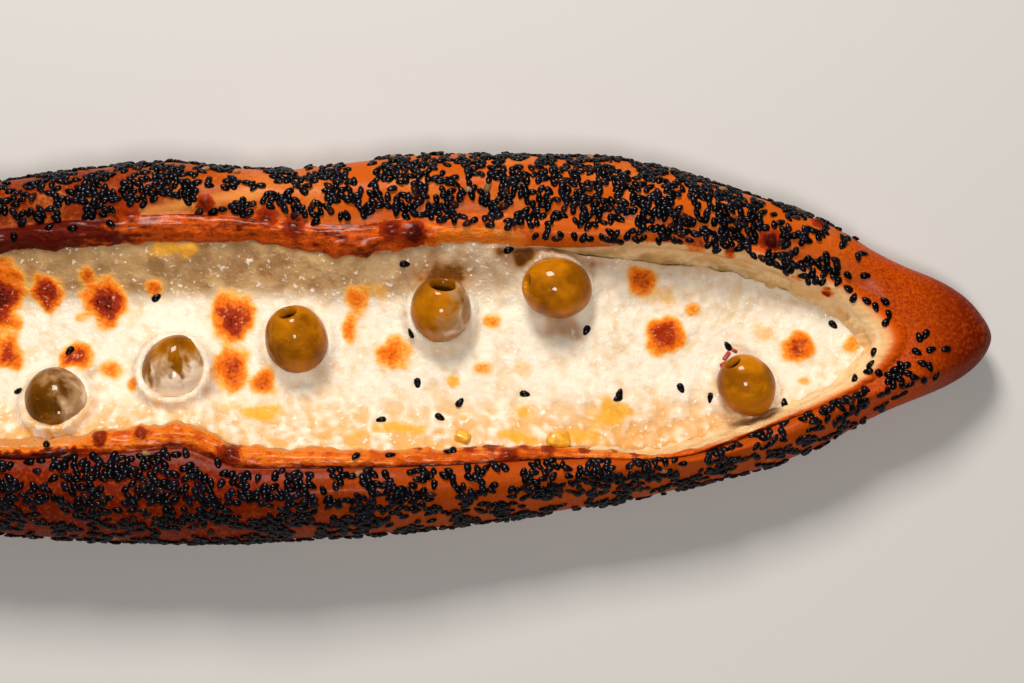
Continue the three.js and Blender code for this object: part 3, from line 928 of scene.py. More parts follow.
# place along and across, widths along and across, in millimetres, and how dark
BROWNED_SPOTS = [
    (-87, 13, 12, 18, 1.0), (-83, -4, 7, 9, 0.8), (-71, 14, 8, 8, 0.9), (-59, 19, 5, 5, 0.6),
    (-54, 11, 11, 11, 1.0), (-62, -6, 8, 7, 0.8), (-51, -10, 7, 5, 0.5), (-44, -15, 3, 4, 0.4),
    (-39, 16, 5, 4, 0.6), (-14, 6, 10, 11, 1.0), (-14, -9, 8, 13, 0.66), (-4, -14, 7, 7, 0.6),
    (24, 12, 7, 7, 0.5), (22, 4, 4, 9, 0.5), (35, -5, 9, 9, 0.6), (66, 6, 5, 4, 0.4),
    (63, -9, 5, 4, 0.4), (112, 19, 8, 7, 0.6), (119, 2, 9, 11, 0.75), (128, 10, 5, 4, 0.4),
    (160, -2, 8, 7, 0.8), (178, 0, 5, 5, 0.4), (162, -12, 4, 3, 0.3),
    (-118, -6, 9, 8, 0.7), (-112, 17, 10, 6, 0.8), (-128, 9, 7, 7, 0.5), (-150, 4, 8, 7, 0.9),
    (-158, -9, 6, 6, 0.5), (-92, -20, 8, 6, 0.6), (-122, -20, 6, 5, 0.4),
]
# place and widths of the yellow patches of fat and pepper, in millimetres, and how strong
FAT_PATCHES = [
    (-32, 27, 14, 5, 0.9), (-3, -24, 11, 4, 0.8), (-14, -22, 6, 4, 0.5), (38, -29, 12, 3.5, 0.8),
    (54, -13, 3, 3, 0.8), (75, -9, 6, 5, 0.4), (75, -23, 3, 3, 0.7), (103, -23, 11, 7, 0.9),
    (74, -32, 9, 4, 0.9), (92, -31, 10, 4, 0.6), (24, -31, 8, 4, 0.5), (118, -22, 8, 5, 0.5),
    (140, -8, 6, 4, 0.5), (57, 8, 4, 6, 0.5), (-70, -24, 8, 5, 0.6), (-108, -24, 10, 4, 0.7),
    (-140, 8, 8, 5, 0.5), (120, 14, 12, 6, 0.4), (150, 3, 5, 6, 0.4), (31, 14, 7, 5, 0.5),
]
# painted brown shadow behind and beside the olives and under the back lip: place, widths, and how strong
SHADOW_PATCHES = [
    (50, 19, 15, 8.5, 1.15), (74, 25.5, 11, 6.5, 1.2), (87, 27, 12, 4, 1.0), (97, 23, 5, 7, 0.9),
    (87.5, 3.5, 11, 5.5, 0.72), (19, 24.5, 7, 4, 0.6), (-3, 20, 6, 3, 0.3), (14, -11, 6, 5, 0.35),
    (-21, -17, 7, 4, 0.4), (-57, -10, 5, 5, 0.4), (136, -13, 3, 8, 0.45), (-138, 3, 8, 5, 0.5),
]
print(len(OLIVES), "olives and", len(BROWNED_SPOTS), "browned spots")
print("patches of fat and juice:", len(FAT_PATCHES), len(SHADOW_PATCHES))

# %% [markdown]
# ## Lumps and blisters
# Three sizes of noise make the curds, more of them along the front where the cheese is crumblier. Each
# browned spot is a blister, swollen and a little crusty. A spot is a ragged oval: it fades from its
# middle to its edge, and noise moves the edge.


# %% Give the cheese its relief
def add_patches(points, patches, ragged, sharpness):
    """How strongly each point is covered by a list of ragged oval patches."""
    cover = np.zeros(len(points))
    for x, y, width, depth, strength in patches:
        away = np.hypot((points[:, 0] - x * mm) / (width * mm), (points[:, 1] - y * mm) / (depth * mm))
        cover = np.maximum(cover, strength * fall(away + 0.16 * ragged, sharpness, 0.95))
    return cover


points = read_points(cheese)
courses = read_number(cheese, "course")
top = ramp(courses, CHEESE_TOP_COURSE - 0.2, CHEESE_TOP_COURSE + 1.5)
flat = points * (1, 1, 0)
curdy = 0.4 + 0.6 * ramp(-points[:, 1], 2 * mm, 20 * mm)

slow = grain(flat, 15 * mm, 2.7)
curds = 1 - 2.4 * np.abs(grain(flat, 6 * mm, 6.1))
small = grain(flat, 2.3 * mm, 3.3)
ragged = 1.8 * grain(flat, 5.5 * mm, 8.8) + 0.9 * grain(flat, 2.6 * mm, 4.1)
browned = add_patches(points, BROWNED_SPOTS, ragged, 0.08)
lift = 1.1 * mm * slow + 0.55 * mm * curds * curdy + 0.7 * mm * small * curdy**2
lift += browned * (0.8 * mm + 0.55 * mm * grain(flat, 1.4 * mm, 0.7))
lift += 0.9 * mm * grain(flat, 4.2 * mm, 7.7) * ramp(points[:, 1], 5 * mm, 12 * mm)
print("curds and blisters rise by up to", round(float(lift.max()) / mm, 1), "mm")

# %% [markdown]
# ## Collars round the olives
# Round each olive the cheese is pulled up into a thin collar, higher where it covers more of the olive.
# The rim is pushed in and out where it meets the crumb. Then each point stores how brown, yellow and curdy
# it is, how much painted shadow lies on it, how near the front it is and how much of the back lip's painted
# shade lies on it, for the material.

# %% Pull up collars and move the cheese
COLLAR_REACH = 2.2 * mm

for middle, size, _, covered, _ in OLIVES.values():
    gap = np.hypot(points[:, 0] - middle[0] * mm, points[:, 1] - middle[1] * mm) - size * OLIVE_WIDTH / 2
    ring = np.exp(-((gap / COLLAR_REACH) ** 2))
    lift += (2.6 + 2.4 * covered + 1.4 * slow) * mm * ring
points[:, 2] += top * lift
beyond = points[:, 1] - middle_line(points[:, 0])
rim = ramp(courses, 2.5, 4) * fall(courses, 5, 7) * np.sign(beyond)
points[:, 1] += 0.9 * mm * rim * (grain(flat, 7 * mm, 5.2) + 0.6 * grain(flat, 2.6 * mm, 1.4))
write_points(cheese, points)
select_only(cheese)
bpy.ops.object.shade_smooth()

beyond = points[:, 1] - middle_line(points[:, 0])
# A strip along the back lies in the back lip's shade, which is painted as a darker brown gel; it fades
# towards the right end.
strip_start = (13 + 7 * ramp(points[:, 0], 55 * mm, 95 * mm)) * mm
near_back = ramp(beyond + 1.5 * mm * slow, strip_start, strip_start + 7 * mm)
write_numbers(
    cheese,
    browned=browned * top,
    fatty=add_patches(points, FAT_PATCHES, 1.6 * ragged, 0.1) * top,
    juicy=add_patches(points, SHADOW_PATCHES, 1.2 * ragged, 0.1) * top,
    curd=0.5 + 0.3 * curds * curdy + 0.4 * small,
    near_front=ramp(-beyond, 8 * mm, 28 * mm),
    near_back=near_back * (0.9 - 0.5 * ramp(points[:, 0], 10 * mm, 95 * mm)),
)
top_heights = points[courses > 6, 2] / mm
print("cheese top from", round(top_heights.min(), 1), "to", round(top_heights.max(), 1), "mm")

# %% [markdown]
# ## The finish of melted cheese
# Cheese is pale, soft and wet: light sinks in and comes out warm, so it gets subsurface scattering and a wet
# coat. Curds are whiter than the melt between them, and fat collects in yellow patches. Small white specks
# are painted highlights of the wet surface, the back lip's shade is painted as brown gel, and brown shadow
# is painted round the olives. The browned spots run from yellow through orange to a dark red brown, with a
# grain of burst bubbles and small painted highlights.

# %% Mix the cheese's material
MELT_CREAM = (0.8, 0.62, 0.4)
CURD_WHITE = (0.88, 0.78, 0.63)
WARM_CREAM = (0.76, 0.4, 0.12)
SHADED_GEL_LIGHT = (0.54, 0.31, 0.1)
SHADED_GEL_DARK = (0.34, 0.155, 0.03)
SHADOW_BROWN = (0.32, 0.11, 0.006)
SHADOW_DARK = (0.12, 0.034, 0.001)
FAT_YELLOW = (0.86, 0.4, 0.02)
PAINTED_GLINT_WHITE = (0.95, 0.87, 0.76)
PAINTED_GLINT_ORANGE = (0.85, 0.36, 0.16)
TOASTED = (0.9, 0.42, 0.06)
BLISTER_ORANGE = (0.86, 0.17, 0.001)
BLISTER_RED = (0.36, 0.022, 0.0005)
BLISTER_BROWN = (0.07, 0.004, 0.0005)


def mix_melt(tree, juicy, near_front):
    """White curds in a cream melt that is warmer in front, with the back lip's painted shade as brown gel
    along the back, and painted brown shadow round the olives.
    """
    broad = noise_at(tree, 9 * mm, 4.0, distortion=0.4)
    whiter = plus(tree, number_from(tree, "curd"), minus(tree, broad, 0.5))
    color = fade(tree, whiter, 0.2, 0.7, MELT_CREAM, CURD_WHITE)
    warmth = times(tree, near_front, spread(tree, whiter, 1.1, 0.45))
    color = color_by(tree, warmth, color, WARM_CREAM)
    # Painted shade of the back lip, as a translucent brown gel
    shaded_gel = fade(tree, broad, 0.38, 0.62, SHADED_GEL_DARK, SHADED_GEL_LIGHT)
    color = color_by(tree, number_from(tree, "near_back"), color, shaded_gel)
    color = color_by(tree, juicy, color, SHADOW_BROWN)
    return fade(tree, juicy, 0.65, 1.15, color, SHADOW_DARK)


def add_painted_glints(tree, color, ripple, juicy):
    """Clusters of small painted white highlights on the wet cheese, but none in the painted shadow."""
    clusters = noise_at(tree, 6 * mm, 2.0)
    painted_glints = times(tree, spread(tree, ripple, 0.61, 0.67), spread(tree, clusters, 0.42, 0.58))
    painted_glints = times(tree, painted_glints, spread(tree, juicy, 0.9, 0.4))
    return color_by(tree, times(tree, painted_glints, 0.85), color, PAINTED_GLINT_WHITE)


def add_fat(tree, color, grains, lumps, near_front):
    """Yellow patches, and yellow bits on the lumps in front."""
    yellow = plus(tree, number_from(tree, "fatty"), times(tree, grains, 0.8))
    color = fade(tree, yellow, 0.05, 0.7, color, FAT_YELLOW, strength=0.95)
    bits = times(tree, spread(tree, lumps, 0.6, 0.68), near_front)
    return color_by(tree, times(tree, bits, 0.55), color, FAT_YELLOW)


def toast(tree, color, browned, grains):
    """Browned spots from yellow through orange to dark red brown, with small painted highlights on them."""
    crusted = plus(tree, browned, grains)
    color = fade(tree, browned, 0.03, 0.32, color, TOASTED)
    color = fade(tree, crusted, 0.2, 0.5, color, BLISTER_ORANGE)
    color = fade(tree, crusted, 0.46, 0.76, color, BLISTER_RED)
    color = fade(tree, crusted, 0.8, 1.08, color, BLISTER_BROWN)
    painted_spot_glints = spread(tree, noise_at(tree, 1.2 * mm, 1.0), 0.62, 0.68)
    painted_spot_glints = times(tree, painted_spot_glints, spread(tree, crusted, 0.45, 0.8))
    return color_by(tree, times(tree, painted_spot_glints, 0.6), color, PAINTED_GLINT_ORANGE)


def make_cheese_material():
    material, tree, shader = start_material(
        "melted_cheese", Subsurface_Weight=0.2, Subsurface_Scale=0.0025, Specular_IOR_Level=0.05,
        Coat_Roughness=0.09)
    shader.inputs["Subsurface Radius"].default_value = (1.0, 0.6, 0.3)
    fine = noise_at(tree, 1.1 * mm, 4.0)
    grains = about_zero(tree, fine, 0.5)
    lumps = noise_at(tree, 2.8 * mm, 3.0, distortion=0.5)
    ripple = noise_at(tree, 1.7 * mm, 2.0)
    browned = number_from(tree, "browned")
    juicy = number_from(tree, "juicy")
    near_front = number_from(tree, "near_front")
    color = mix_melt(tree, juicy, near_front)
    color = add_painted_glints(tree, color, ripple, juicy)
    color = add_fat(tree, color, grains, lumps, near_front)
    color = toast(tree, color, browned, grains)
    tree.links.new(color, shader.inputs["Base Color"])
    tree.links.new(even_range(tree, lumps, 0.25, 0.5), shader.inputs["Roughness"])
    burst = times(tree, fine, plus(tree, browned, 0.05))
    first = bump(tree, shader, burst, 1.3 * mm, 0.9)
    waves = plus(tree, lumps, times(tree, ripple, 0.7))
    bump(tree, shader, waves, 1.4 * mm, 0.35, below=first)
    bump(tree, shader, waves, 3.0 * mm, 0.9, below=first, socket="Coat Normal")
    # The coat is thinner on browned spots and in the painted shadow.
    browned_or_shadowed = plus(tree, browned, times(tree, juicy, 0.5))
    tree.links.new(even_range(tree, browned_or_shadowed, 0.9, 0.25, top=0.4), shader.inputs["Coat Weight"])
    return material


cheese.data.materials.append(make_cheese_material())
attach(cheese, "root")
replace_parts(cheese, "cheese_filling")
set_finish(cheese, "cheese")
print("cheese material mixed")

# %% [markdown]
# ## The olives
# A pitted olive is an egg with a round hole punched into one end. A sphere is the start: the faces
# round its pole are deleted, the open ring is extruded inwards to make the hole, and the other end is
# drawn out a little. One level of subdivision rounds the mouth of the hole.

# %% Model an olive
OLIVE_SEGMENTS = 28
OLIVE_RINGS = 18
HOLE_DEPTH = 6 * mm
HOLE_BEVEL = 0.5 * mm
NECK_SHARE = 0.78  # the hole narrows to this share at its bevel
BOTTOM_SHARE = 0.85  # and again to this share of that at its bottom
ROUND_TAPER = 0.06
DRAWN_TAPER = 0.3
DENT_SHARE = 0.03
# name: radius of the hole and how far the other end is drawn out to a point, in millimetres, and the
# side that the film of cheese lies on
OLIVE_CUTS = {
    "olive_1": (2.9, 0, (0.6, -0.5, -0.4)),
    "olive_2": (3.0, 0, (-0.6, 0.2, -0.5)),
    "olive_3": (2.8, 0, (1.0, 0.4, 0.2)),
    "olive_4": (2.8, 0, (0.25, -0.7, 0.2)),
    "olive_5": (3.0, 0, (1.0, -0.3, -0.5)),
    "olive_6": (3.8, 2.4, (1.0, -0.3, -0.1)),
    "olive_7": (3.0, 0, (0, 0, -1)),
    "olive_8": (2.8, 0, (-0.5, 0.8, -0.5)),
}


def select_points(piece, wanted):
    """Selects the points for which wanted(place) is true."""
    shape = bmesh.from_edit_mesh(piece.data)
    bpy.ops.mesh.select_all(action="DESELECT")
    for vertex in shape.verts:
        vertex.select = wanted(vertex.co)
    shape.select_flush(True)
    bmesh.update_edit_mesh(piece.data)


def model_olive(name, middle, size, hole, hole_radius, drawn):
    """An olive at its place, with its hole turned the right way."""
    bpy.ops.mesh.primitive_uv_sphere_add(
        segments=OLIVE_SEGMENTS, ring_count=OLIVE_RINGS, radius=OLIVE_WIDTH / 2)
    olive = bpy.context.object
    olive.name = name
    select_only(olive)
    stretch = OLIVE_LENGTH / OLIVE_WIDTH
    pole = OLIVE_LENGTH / 2
    mouth = pole * math.sqrt(1 - (hole_radius / (OLIVE_WIDTH / 2)) ** 2)
    bpy.ops.object.mode_set(mode="EDIT")
    bpy.ops.mesh.select_all(action="SELECT")
    bpy.ops.transform.resize(value=(1, 1, stretch))
    select_points(olive, lambda co: co.z > mouth)
    bpy.ops.mesh.delete(type="VERT")
    shape = bmesh.from_edit_mesh(olive.data)
    for edge in shape.edges:
        edge.select_set(edge.is_boundary)
    bmesh.update_edit_mesh(olive.data)
    bpy.ops.mesh.extrude_region_move(TRANSFORM_OT_translate={"value": (0, 0, -HOLE_BEVEL)})
    bpy.ops.transform.resize(value=(NECK_SHARE, NECK_SHARE, 1))
    bpy.ops.mesh.extrude_region_move(TRANSFORM_OT_translate={"value": (0, 0, -HOLE_DEPTH)})
    bpy.ops.transform.resize(value=(BOTTOM_SHARE, BOTTOM_SHARE, 1))
    bpy.ops.mesh.edge_face_add()
    bpy.ops.object.mode_set(mode="OBJECT")
    apply_modifier(olive, "SUBSURF", levels=1, render_levels=1)
    points = read_points(olive)
    towards_end = ramp(-points[:, 2] / pole, 0.0, 1.0)
    taper = DRAWN_TAPER if drawn else ROUND_TAPER
    points[:, :2] *= (1 - taper * towards_end)[:, None]
    points[:, 2] -= drawn * towards_end**3
    dents = grain(points + Vector(middle) * mm, 7 * mm, 1.3)
    points *= (1 + DENT_SHARE * dents)[:, None]
    write_points(olive, points)
    turn = Vector((0, 0, 1)).rotation_difference(Vector(hole).normalized()).to_matrix().to_4x4()
    place = Matrix.Translation(Vector(middle) * mm) @ turn @ Matrix.Scale(size, 4)
    olive.data.transform(place)
    return olive


print(len(OLIVE_CUTS), "olives, each with a hole", round(HOLE_DEPTH / mm, 1), "mm deep")

# %% [markdown]
# ## The finish of the olives
# The skin is a yellow green that turns brown on the baked ones, with a wet, even coat. Where an olive has
# sunk, cheese has run over it as a film: thin and brownish at first, then thick and cream. The film's number
# comes from how far a point faces the cheese, and torn noise frays its border. The inside of the pit's hole
# gets a painted shade.

# %% Mix the olives' materials
SKIN_LIGHT = (0.56, 0.185, 0.0003)
SKIN_DEEP = (0.25, 0.075, 0.0001)
SKIN_SPECKLE = (0.6, 0.3, 0.02)
HOLE_SHADE = (0.05, 0.012, 0.001)
BROWNING = 0.7  # the share of its colour that the brownest skin loses
FILM_THIN = (0.46, 0.27, 0.12)
FILM_THICK = (0.84, 0.66, 0.49)


def darken(color, share):
    """A browner skin: less red and green. There is next to no blue in any of them."""
    red, green, blue = color
    return (red * share, green * share, blue)


def make_olive_material(name, brown):
    ripe = 1 - BROWNING * brown
    material, tree, shader = start_material(
        name, Subsurface_Weight=0.08, Subsurface_Scale=0.003, Specular_IOR_Level=0.02,
        Coat_Weight=0.6, Coat_Roughness=0.05, Coat_IOR=1.38)
    shader.inputs["Roughness"].default_value = 0.4
    patches = noise_at(tree, 11 * mm, 3.0, distortion=0.15)
    fine = noise_at(tree, 1.2 * mm, 4.0)
    color = fade(tree, patches, 0.34, 0.62, darken(SKIN_DEEP, ripe), darken(SKIN_LIGHT, ripe))
    color = fade(tree, fine, 0.58, 0.75, color, SKIN_SPECKLE, strength=0.3)
    strands = noise_at(tree, 5.5 * mm, 2.0, distortion=0.3)
    film = plus(tree, number_from(tree, "filmed"), minus(tree, strands, 0.5))
    color = fade(tree, film, 0.3, 0.6, color, FILM_THIN, strength=0.8)
    color = fade(tree, film, 0.55, 0.8, color, FILM_THICK, strength=0.9)
    # Painted shade inside the pit's hole
    color = fade(tree, number_from(tree, "inside"), 0.2, 0.9, color, HOLE_SHADE)
    tree.links.new(color, shader.inputs["Base Color"])
    first = bump(tree, shader, patches, 1.0 * mm, 0.25)
    bump(tree, shader, film, 1.6 * mm, 0.6, below=first)
    return material


print("olive finish ready")

# %% [markdown]
# ## Laying the olives
# Each olive goes where its solid lies. The film of cheese is worked out once it lies there, because it
# depends on which way a point faces. Two clear places in the film of one olive show the skin below.

# %% Lay the olives
INSIDE_HOLE = 0.93  # points closer to the middle than this share of the radius are in the hole, which gets a painted shade
# Clear places in the film of olive_4: place along and across, and radius, in millimetres
FILM_WINDOWS = [(-39.5, -12, 2.6), (-29.5, -11.5, 3.6)]

for name, (middle, size, hole, covered, brown) in OLIVES.items():
    hole_radius, drawn, film_way = OLIVE_CUTS[name]
    olive = model_olive(name + "_flesh", middle, size, hole, hole_radius * mm, drawn * mm)
    olive.data.materials.append(make_olive_material(name + "_skin", brown))
    points = read_points(olive)
    reach = (points - np.array(middle) * mm) / (size * OLIVE_WIDTH / 2)
    facing = reach @ np.array(Vector(film_way).normalized())
    filmed = covered * (0.4 + 0.45 * facing)
    torn = grain(points, (1.6 * mm, 6 * mm, 6 * mm), 2.2) + 0.5 * grain(points, 1.5 * mm, 0.4)
    for x, y, radius in FILM_WINDOWS:
        away = np.hypot(points[:, 0] - x * mm, 0.7 * (points[:, 1] - y * mm)) / (radius * mm)
        filmed -= 0.6 * fall(away + 1.1 * torn, 0.1, 1.2)
    write_numbers(olive, filmed=filmed, inside=np.linalg.norm(reach, axis=1) < INSIDE_HOLE)
    select_only(olive)
    bpy.ops.object.shade_smooth()
    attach(olive, "root")
    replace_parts(olive, name)
    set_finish(olive, "olive")
print(len(OLIVES), "olives of", len(olive.data.polygons), "faces")

# %% [markdown]
# ## Black sesame seeds
# A sesame seed is a flat drop, three and a half millimetres long. One is modelled from a small sphere:
# it is laid on its side, drawn to a point and flattened. Thousands will lie on the crust, so the seed
# has only a few faces.

# %% Model one seed
SEED_LENGTH = 3.55 * mm
SEED_WIDTH = 2.25 * mm
SEED_THICKNESS = 1.3 * mm


def model_seed(name):
    """One seed, lying along x with its point to the right."""
    bpy.ops.mesh.primitive_uv_sphere_add(segments=6, ring_count=4, radius=0.5)
    seed = bpy.context.object
    seed.name = name
    select_only(seed)
    bpy.ops.object.mode_set(mode="EDIT")
    bpy.ops.mesh.select_all(action="SELECT")
    bpy.ops.transform.rotate(value=math.pi / 2, orient_axis="Y", center_override=(0, 0, 0))
    select_points(seed, lambda co: 0.3 < co.x < 0.4)
    bpy.ops.transform.resize(value=(0.95, 0.85, 0.85), center_override=(0, 0, 0))
    select_points(seed, lambda co: abs(co.x) < 0.1)
    bpy.ops.transform.translate(value=(-0.05, 0, 0))
    select_points(seed, lambda co: -0.4 < co.x < -0.3)
    bpy.ops.transform.resize(value=(1.04, 1.18, 1.1), center_override=(0, 0, 0))
    bpy.ops.mesh.select_all(action="SELECT")
    bpy.ops.transform.resize(value=(SEED_LENGTH, SEED_WIDTH, SEED_THICKNESS), center_override=(0, 0, 0))
    bpy.ops.object.mode_set(mode="OBJECT")
    bpy.ops.object.shade_smooth()
    return seed


one_seed = model_seed("one_seed")
print("one seed:", len(one_seed.data.polygons), "faces", [round(d / mm, 2) for d in one_seed.dimensions])

# %% [markdown]
# ## Where the crust carries seeds
# Seeds cling to the rolled rim, from low on the flank up to the bare lip, in clusters with gaps. They
# leave out the noses, the pale streak and burnt knobs. All that makes one number for each point.

# %% Say where the crust carries seeds
courses = read_number(crust, "course")
points = read_points(crust)
last_seeded = 12.2 + np.maximum(3.6 * thin_lip, 2.4 * narrow_lip)
seeded = ramp(courses, 3.4, 4.6) * fall(courses, last_seeded, last_seeded + 0.7)
clumps = grain(points, (9 * mm, 5.5 * mm, 5.5 * mm), 1.7) + 0.7 * grain(points, 3.4 * mm, 6.6)
bare_back = 0.02 * fall(along, -10 * mm, 50 * mm) - 0.06 * ramp(along, 40 * mm, 90 * mm)
bare_back += 0.13 * ramp(along, -14 * mm, 2 * mm) * fall(along, 32 * mm, 52 * mm)
bare_flank = 0.25 * fall(courses, 6.0, 8.5)
bare = -0.27 + at_back * bare_back + bare_flank
seeded *= 0.06 + 0.94 * ramp(clumps, bare, bare + 0.18)
nose_start = np.where(along > 0, 166 + 8 * (1 - at_back), 180) * mm
seeded *= fall(np.abs(along), nose_start, nose_start + 18 * mm)
seeded *= (1 - pale) * (1 - np.minimum(1, 2 * burnt)) * ramp(points[:, 2], 1.4 * mm, 2.6 * mm)
write_numbers(crust, seeded=seeded)
print("share of the crust's points that carry seeds:", round(float((seeded > 0.5).mean()), 2))

# %% [markdown]
# ## Scattering
# Geometry Nodes do what a hand does with a pinch of seeds. Points are strewn on the crust with a least
# distance between them, more where the number is high. A copy of the seed goes on each, turned about
# the normal, tilted, scaled and lifted a little by chance. Fixed seeds for chance give the same bread
# in each run.

# %% Scatter the seeds
SEED_SPACING = 1.55 * mm
MOST_SEEDS = 900000  # tries for each square metre
SEED_TILT = (0.25, 0.3)  # most tilt in radians about the seed's length and width
SEED_SCALE = (0.86, 1.1)
SEED_LIFT = (0.1 * mm, 0.55 * mm)
CHANCE = 7


def random_node(tree, kind, seed, low=None, high=None):
    """A random number or vector for each copy, between low and high, or between 0 and 1."""
    node = add_node(tree, "FunctionNodeRandomValue", {"Seed": seed}, data_type=kind)
    first = 0 if kind == "FLOAT_VECTOR" else 2
    if low is not None:
        node.inputs[first].default_value = low
        node.inputs[first + 1].default_value = high
    return node.outputs[0 if kind == "FLOAT_VECTOR" else 1]


def scatter_tree(shape):
    """Geometry Nodes that set copies of a shape on the surface and make them real mesh."""
    tree = bpy.data.node_groups.new("scatter_seeds", "GeometryNodeTree")
    tree.interface.new_socket("Geometry", in_out="INPUT", socket_type="NodeSocketGeometry")
    tree.interface.new_socket("Geometry", in_out="OUTPUT", socket_type="NodeSocketGeometry")
    start = add_node(tree, "NodeGroupInput")
    density = add_node(tree, "GeometryNodeInputNamedAttribute", {"Name": "seeded"}, data_type="FLOAT")
    spots = add_node(tree, "GeometryNodeDistributePointsOnFaces", {
        "Mesh": start.outputs[0], "Distance Min": SEED_SPACING, "Density Max": MOST_SEEDS,
        "Density Factor": density.outputs[0], "Seed": CHANCE}, distribute_method="POISSON")
    roll, pitch = SEED_TILT
    spin = random_node(tree, "FLOAT_VECTOR", CHANCE + 1, (-roll, -pitch, 0), (roll, pitch, 2 * math.pi))
    turned = add_node(tree, "FunctionNodeRotateRotation", {
        "Rotation": spots.outputs["Rotation"], "Rotate By": spin}, rotation_space="LOCAL")
    one = add_node(tree, "GeometryNodeObjectInfo", {"Object": shape})
    copies = add_node(tree, "GeometryNodeInstanceOnPoints", {
        "Points": spots.outputs["Points"], "Instance": one.outputs["Geometry"],
        "Rotation": turned.outputs[0], "Scale": random_node(tree, "FLOAT", CHANCE + 2, *SEED_SCALE)})
    lift = random_node(tree, "FLOAT_VECTOR", CHANCE + 3, (0, 0, SEED_LIFT[0]), (0, 0, SEED_LIFT[1]))
    lifted = add_node(tree, "GeometryNodeTranslateInstances", {
        "Instances": copies.outputs[0], "Translation": lift, "Local Space": True})
    stored = add_node(tree, "GeometryNodeStoreNamedAttribute", {
        "Geometry": lifted.outputs[0], "Name": "tone", "Value": random_node(tree, "FLOAT", CHANCE + 4)},
        data_type="FLOAT", domain="INSTANCE")
    real = add_node(tree, "GeometryNodeRealizeInstances", {"Geometry": stored.outputs[0]})
    add_node(tree, "NodeGroupOutput", {0: real.outputs[0]})
    return tree


def scatter_on(carrier, name, shape):
    """A copy of the carrier is turned into the seeds that lie on it."""
    select_only(carrier)
    bpy.ops.object.duplicate()
    piece = bpy.context.object
    piece.name = name
    # What the carrier said of itself doesn't hold for the seeds
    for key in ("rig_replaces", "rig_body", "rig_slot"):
        if key in piece:
            del piece[key]
    apply_modifier(piece, "NODES", node_group=scatter_tree(shape))
    piece.data.materials.clear()
    return piece


crust_seeds = scatter_on(crust, "crust_seeds", one_seed)
print("seeds on the crust:", len(crust_seeds.data.polygons) // len(one_seed.data.polygons))

# %% [markdown]
# ## The finish of the seeds
# Black sesame is nearly black, with a blue-grey shine on its skin. A few seeds have lost their skin or
# browned, which the number called tone picks out.


# %% Mix the seeds' material
SEED_BLACK = (0.0015, 0.0012, 0.002)
SEED_BLUE = (0.006, 0.005, 0.009)
SEED_RED = (0.03, 0.009, 0.006)
SEED_BARE = (0.3, 0.14, 0.06)


def make_seed_material():
    material, tree, shader = start_material(
        "black_sesame", Roughness=0.35, Specular_IOR_Level=0.03, Coat_Weight=0.25, Coat_Roughness=0.12)
    tone = number_from(tree, "tone")
    color = fade(tree, tone, 0.2, 0.9, SEED_BLACK, SEED_BLUE)
    color = fade(tree, tone, 0.94, 0.96, color, SEED_RED)
    color = fade(tree, tone, 0.991, 0.994, color, SEED_BARE)
    tree.links.new(color, shader.inputs["Base Color"])
    bump(tree, shader, noise_at(tree, 0.5 * mm, 3.0), 0.1 * mm, 0.5)
    return material


seed_material = make_seed_material()
crust_seeds.data.materials.append(seed_material)
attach(crust_seeds, "root")
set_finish(crust_seeds, "crust")
print("seed material mixed")

# %% [markdown]
# ## Single seeds
# A few seeds fell on the filling, on the bare lip and on the nose, where they are seen one by one.
# Each is a copy of the one seed with its own mesh, dropped straight down onto the surface, turned by a
# fixed rule, and sunk a little. Seeds on the cheese and on the crust are joined to two pieces.

# %% Drop single seeds
LOOSE_SEEDS = [
    (39, 22), (20, 25), (43, -14), (56, -20), (32, -26), (50, -25), (41, 1), (95, 3), (71, 26),
    (112, 28), (124, -15), (105, -17), (104.5, -18.5), (76, -17), (139, -1), (133, -18), (-38, 13),
    (-79, -17), (172, 6), (156, -19), (-64, -4), (-118, 12), (-96, -12), (-150, -3), (-108, -18),
    (-127, -2),
]
NOSE_AND_LIP_SEEDS = [
    (181, 19), (187, 11.3), (188, 7), (187, 4.5), (205, -4), (196, -5), (197, -0.3), (199, 0.6),
    (200.4, -4.3), (197.5, -8.7), (199.8, -9.8), (202, -12), (192.5, -9.4), (195, -13), (198, -13.4),
    (183.2, -4.6), (182, -8.6), (181, -11), (184.3, -11.5), (177, -13), (192, -17), (189.8, -18),
    (181.2, 11.3), (184, 9.3), (187, -14), (189, -10.5), (190.5, -13.6), (186.5, -17), (190.8, -11.6),
    (189, -12.4), (192.8, -11.8), (191.2, -15.4), (188.4, -15.4), (193.6, -15), (187.4, -12), (191, -9),
    (-80.3, 28.7), (-69.5, 32), (-62.5, 31.4), (-50.6, 32.5), (-67, -36), (25.3, -39.5), (35.6, -38.8),
    (52.7, -37), (54.4, -36.7), (-128, -30), (-118, 27), (-187, 6),
]
GOLDEN_ANGLE = math.radians(137.5)
DROP_HEIGHT = 100 * mm


def lying_on(piece, x, y, height, turn):
    """The place and turn of a small thing on the surface below a point, its middle at a height."""
    _, place, normal, _ = piece.ray_cast(Vector((x, y, DROP_HEIGHT)), Vector((0, 0, -1)))
    upright = Vector((0, 0, 1)).rotation_difference(normal).to_matrix().to_4x4()
    return Matrix.Translation(place + height * normal) @ upright @ Matrix.Rotation(turn, 4, "Z")


def join_as(name, pieces):
    """Joins pieces to one."""
    select_only(pieces[0])
    for piece in pieces[1:]:
        piece.select_set(True)
    bpy.ops.object.join()
    bpy.context.object.name = name
    return bpy.context.object


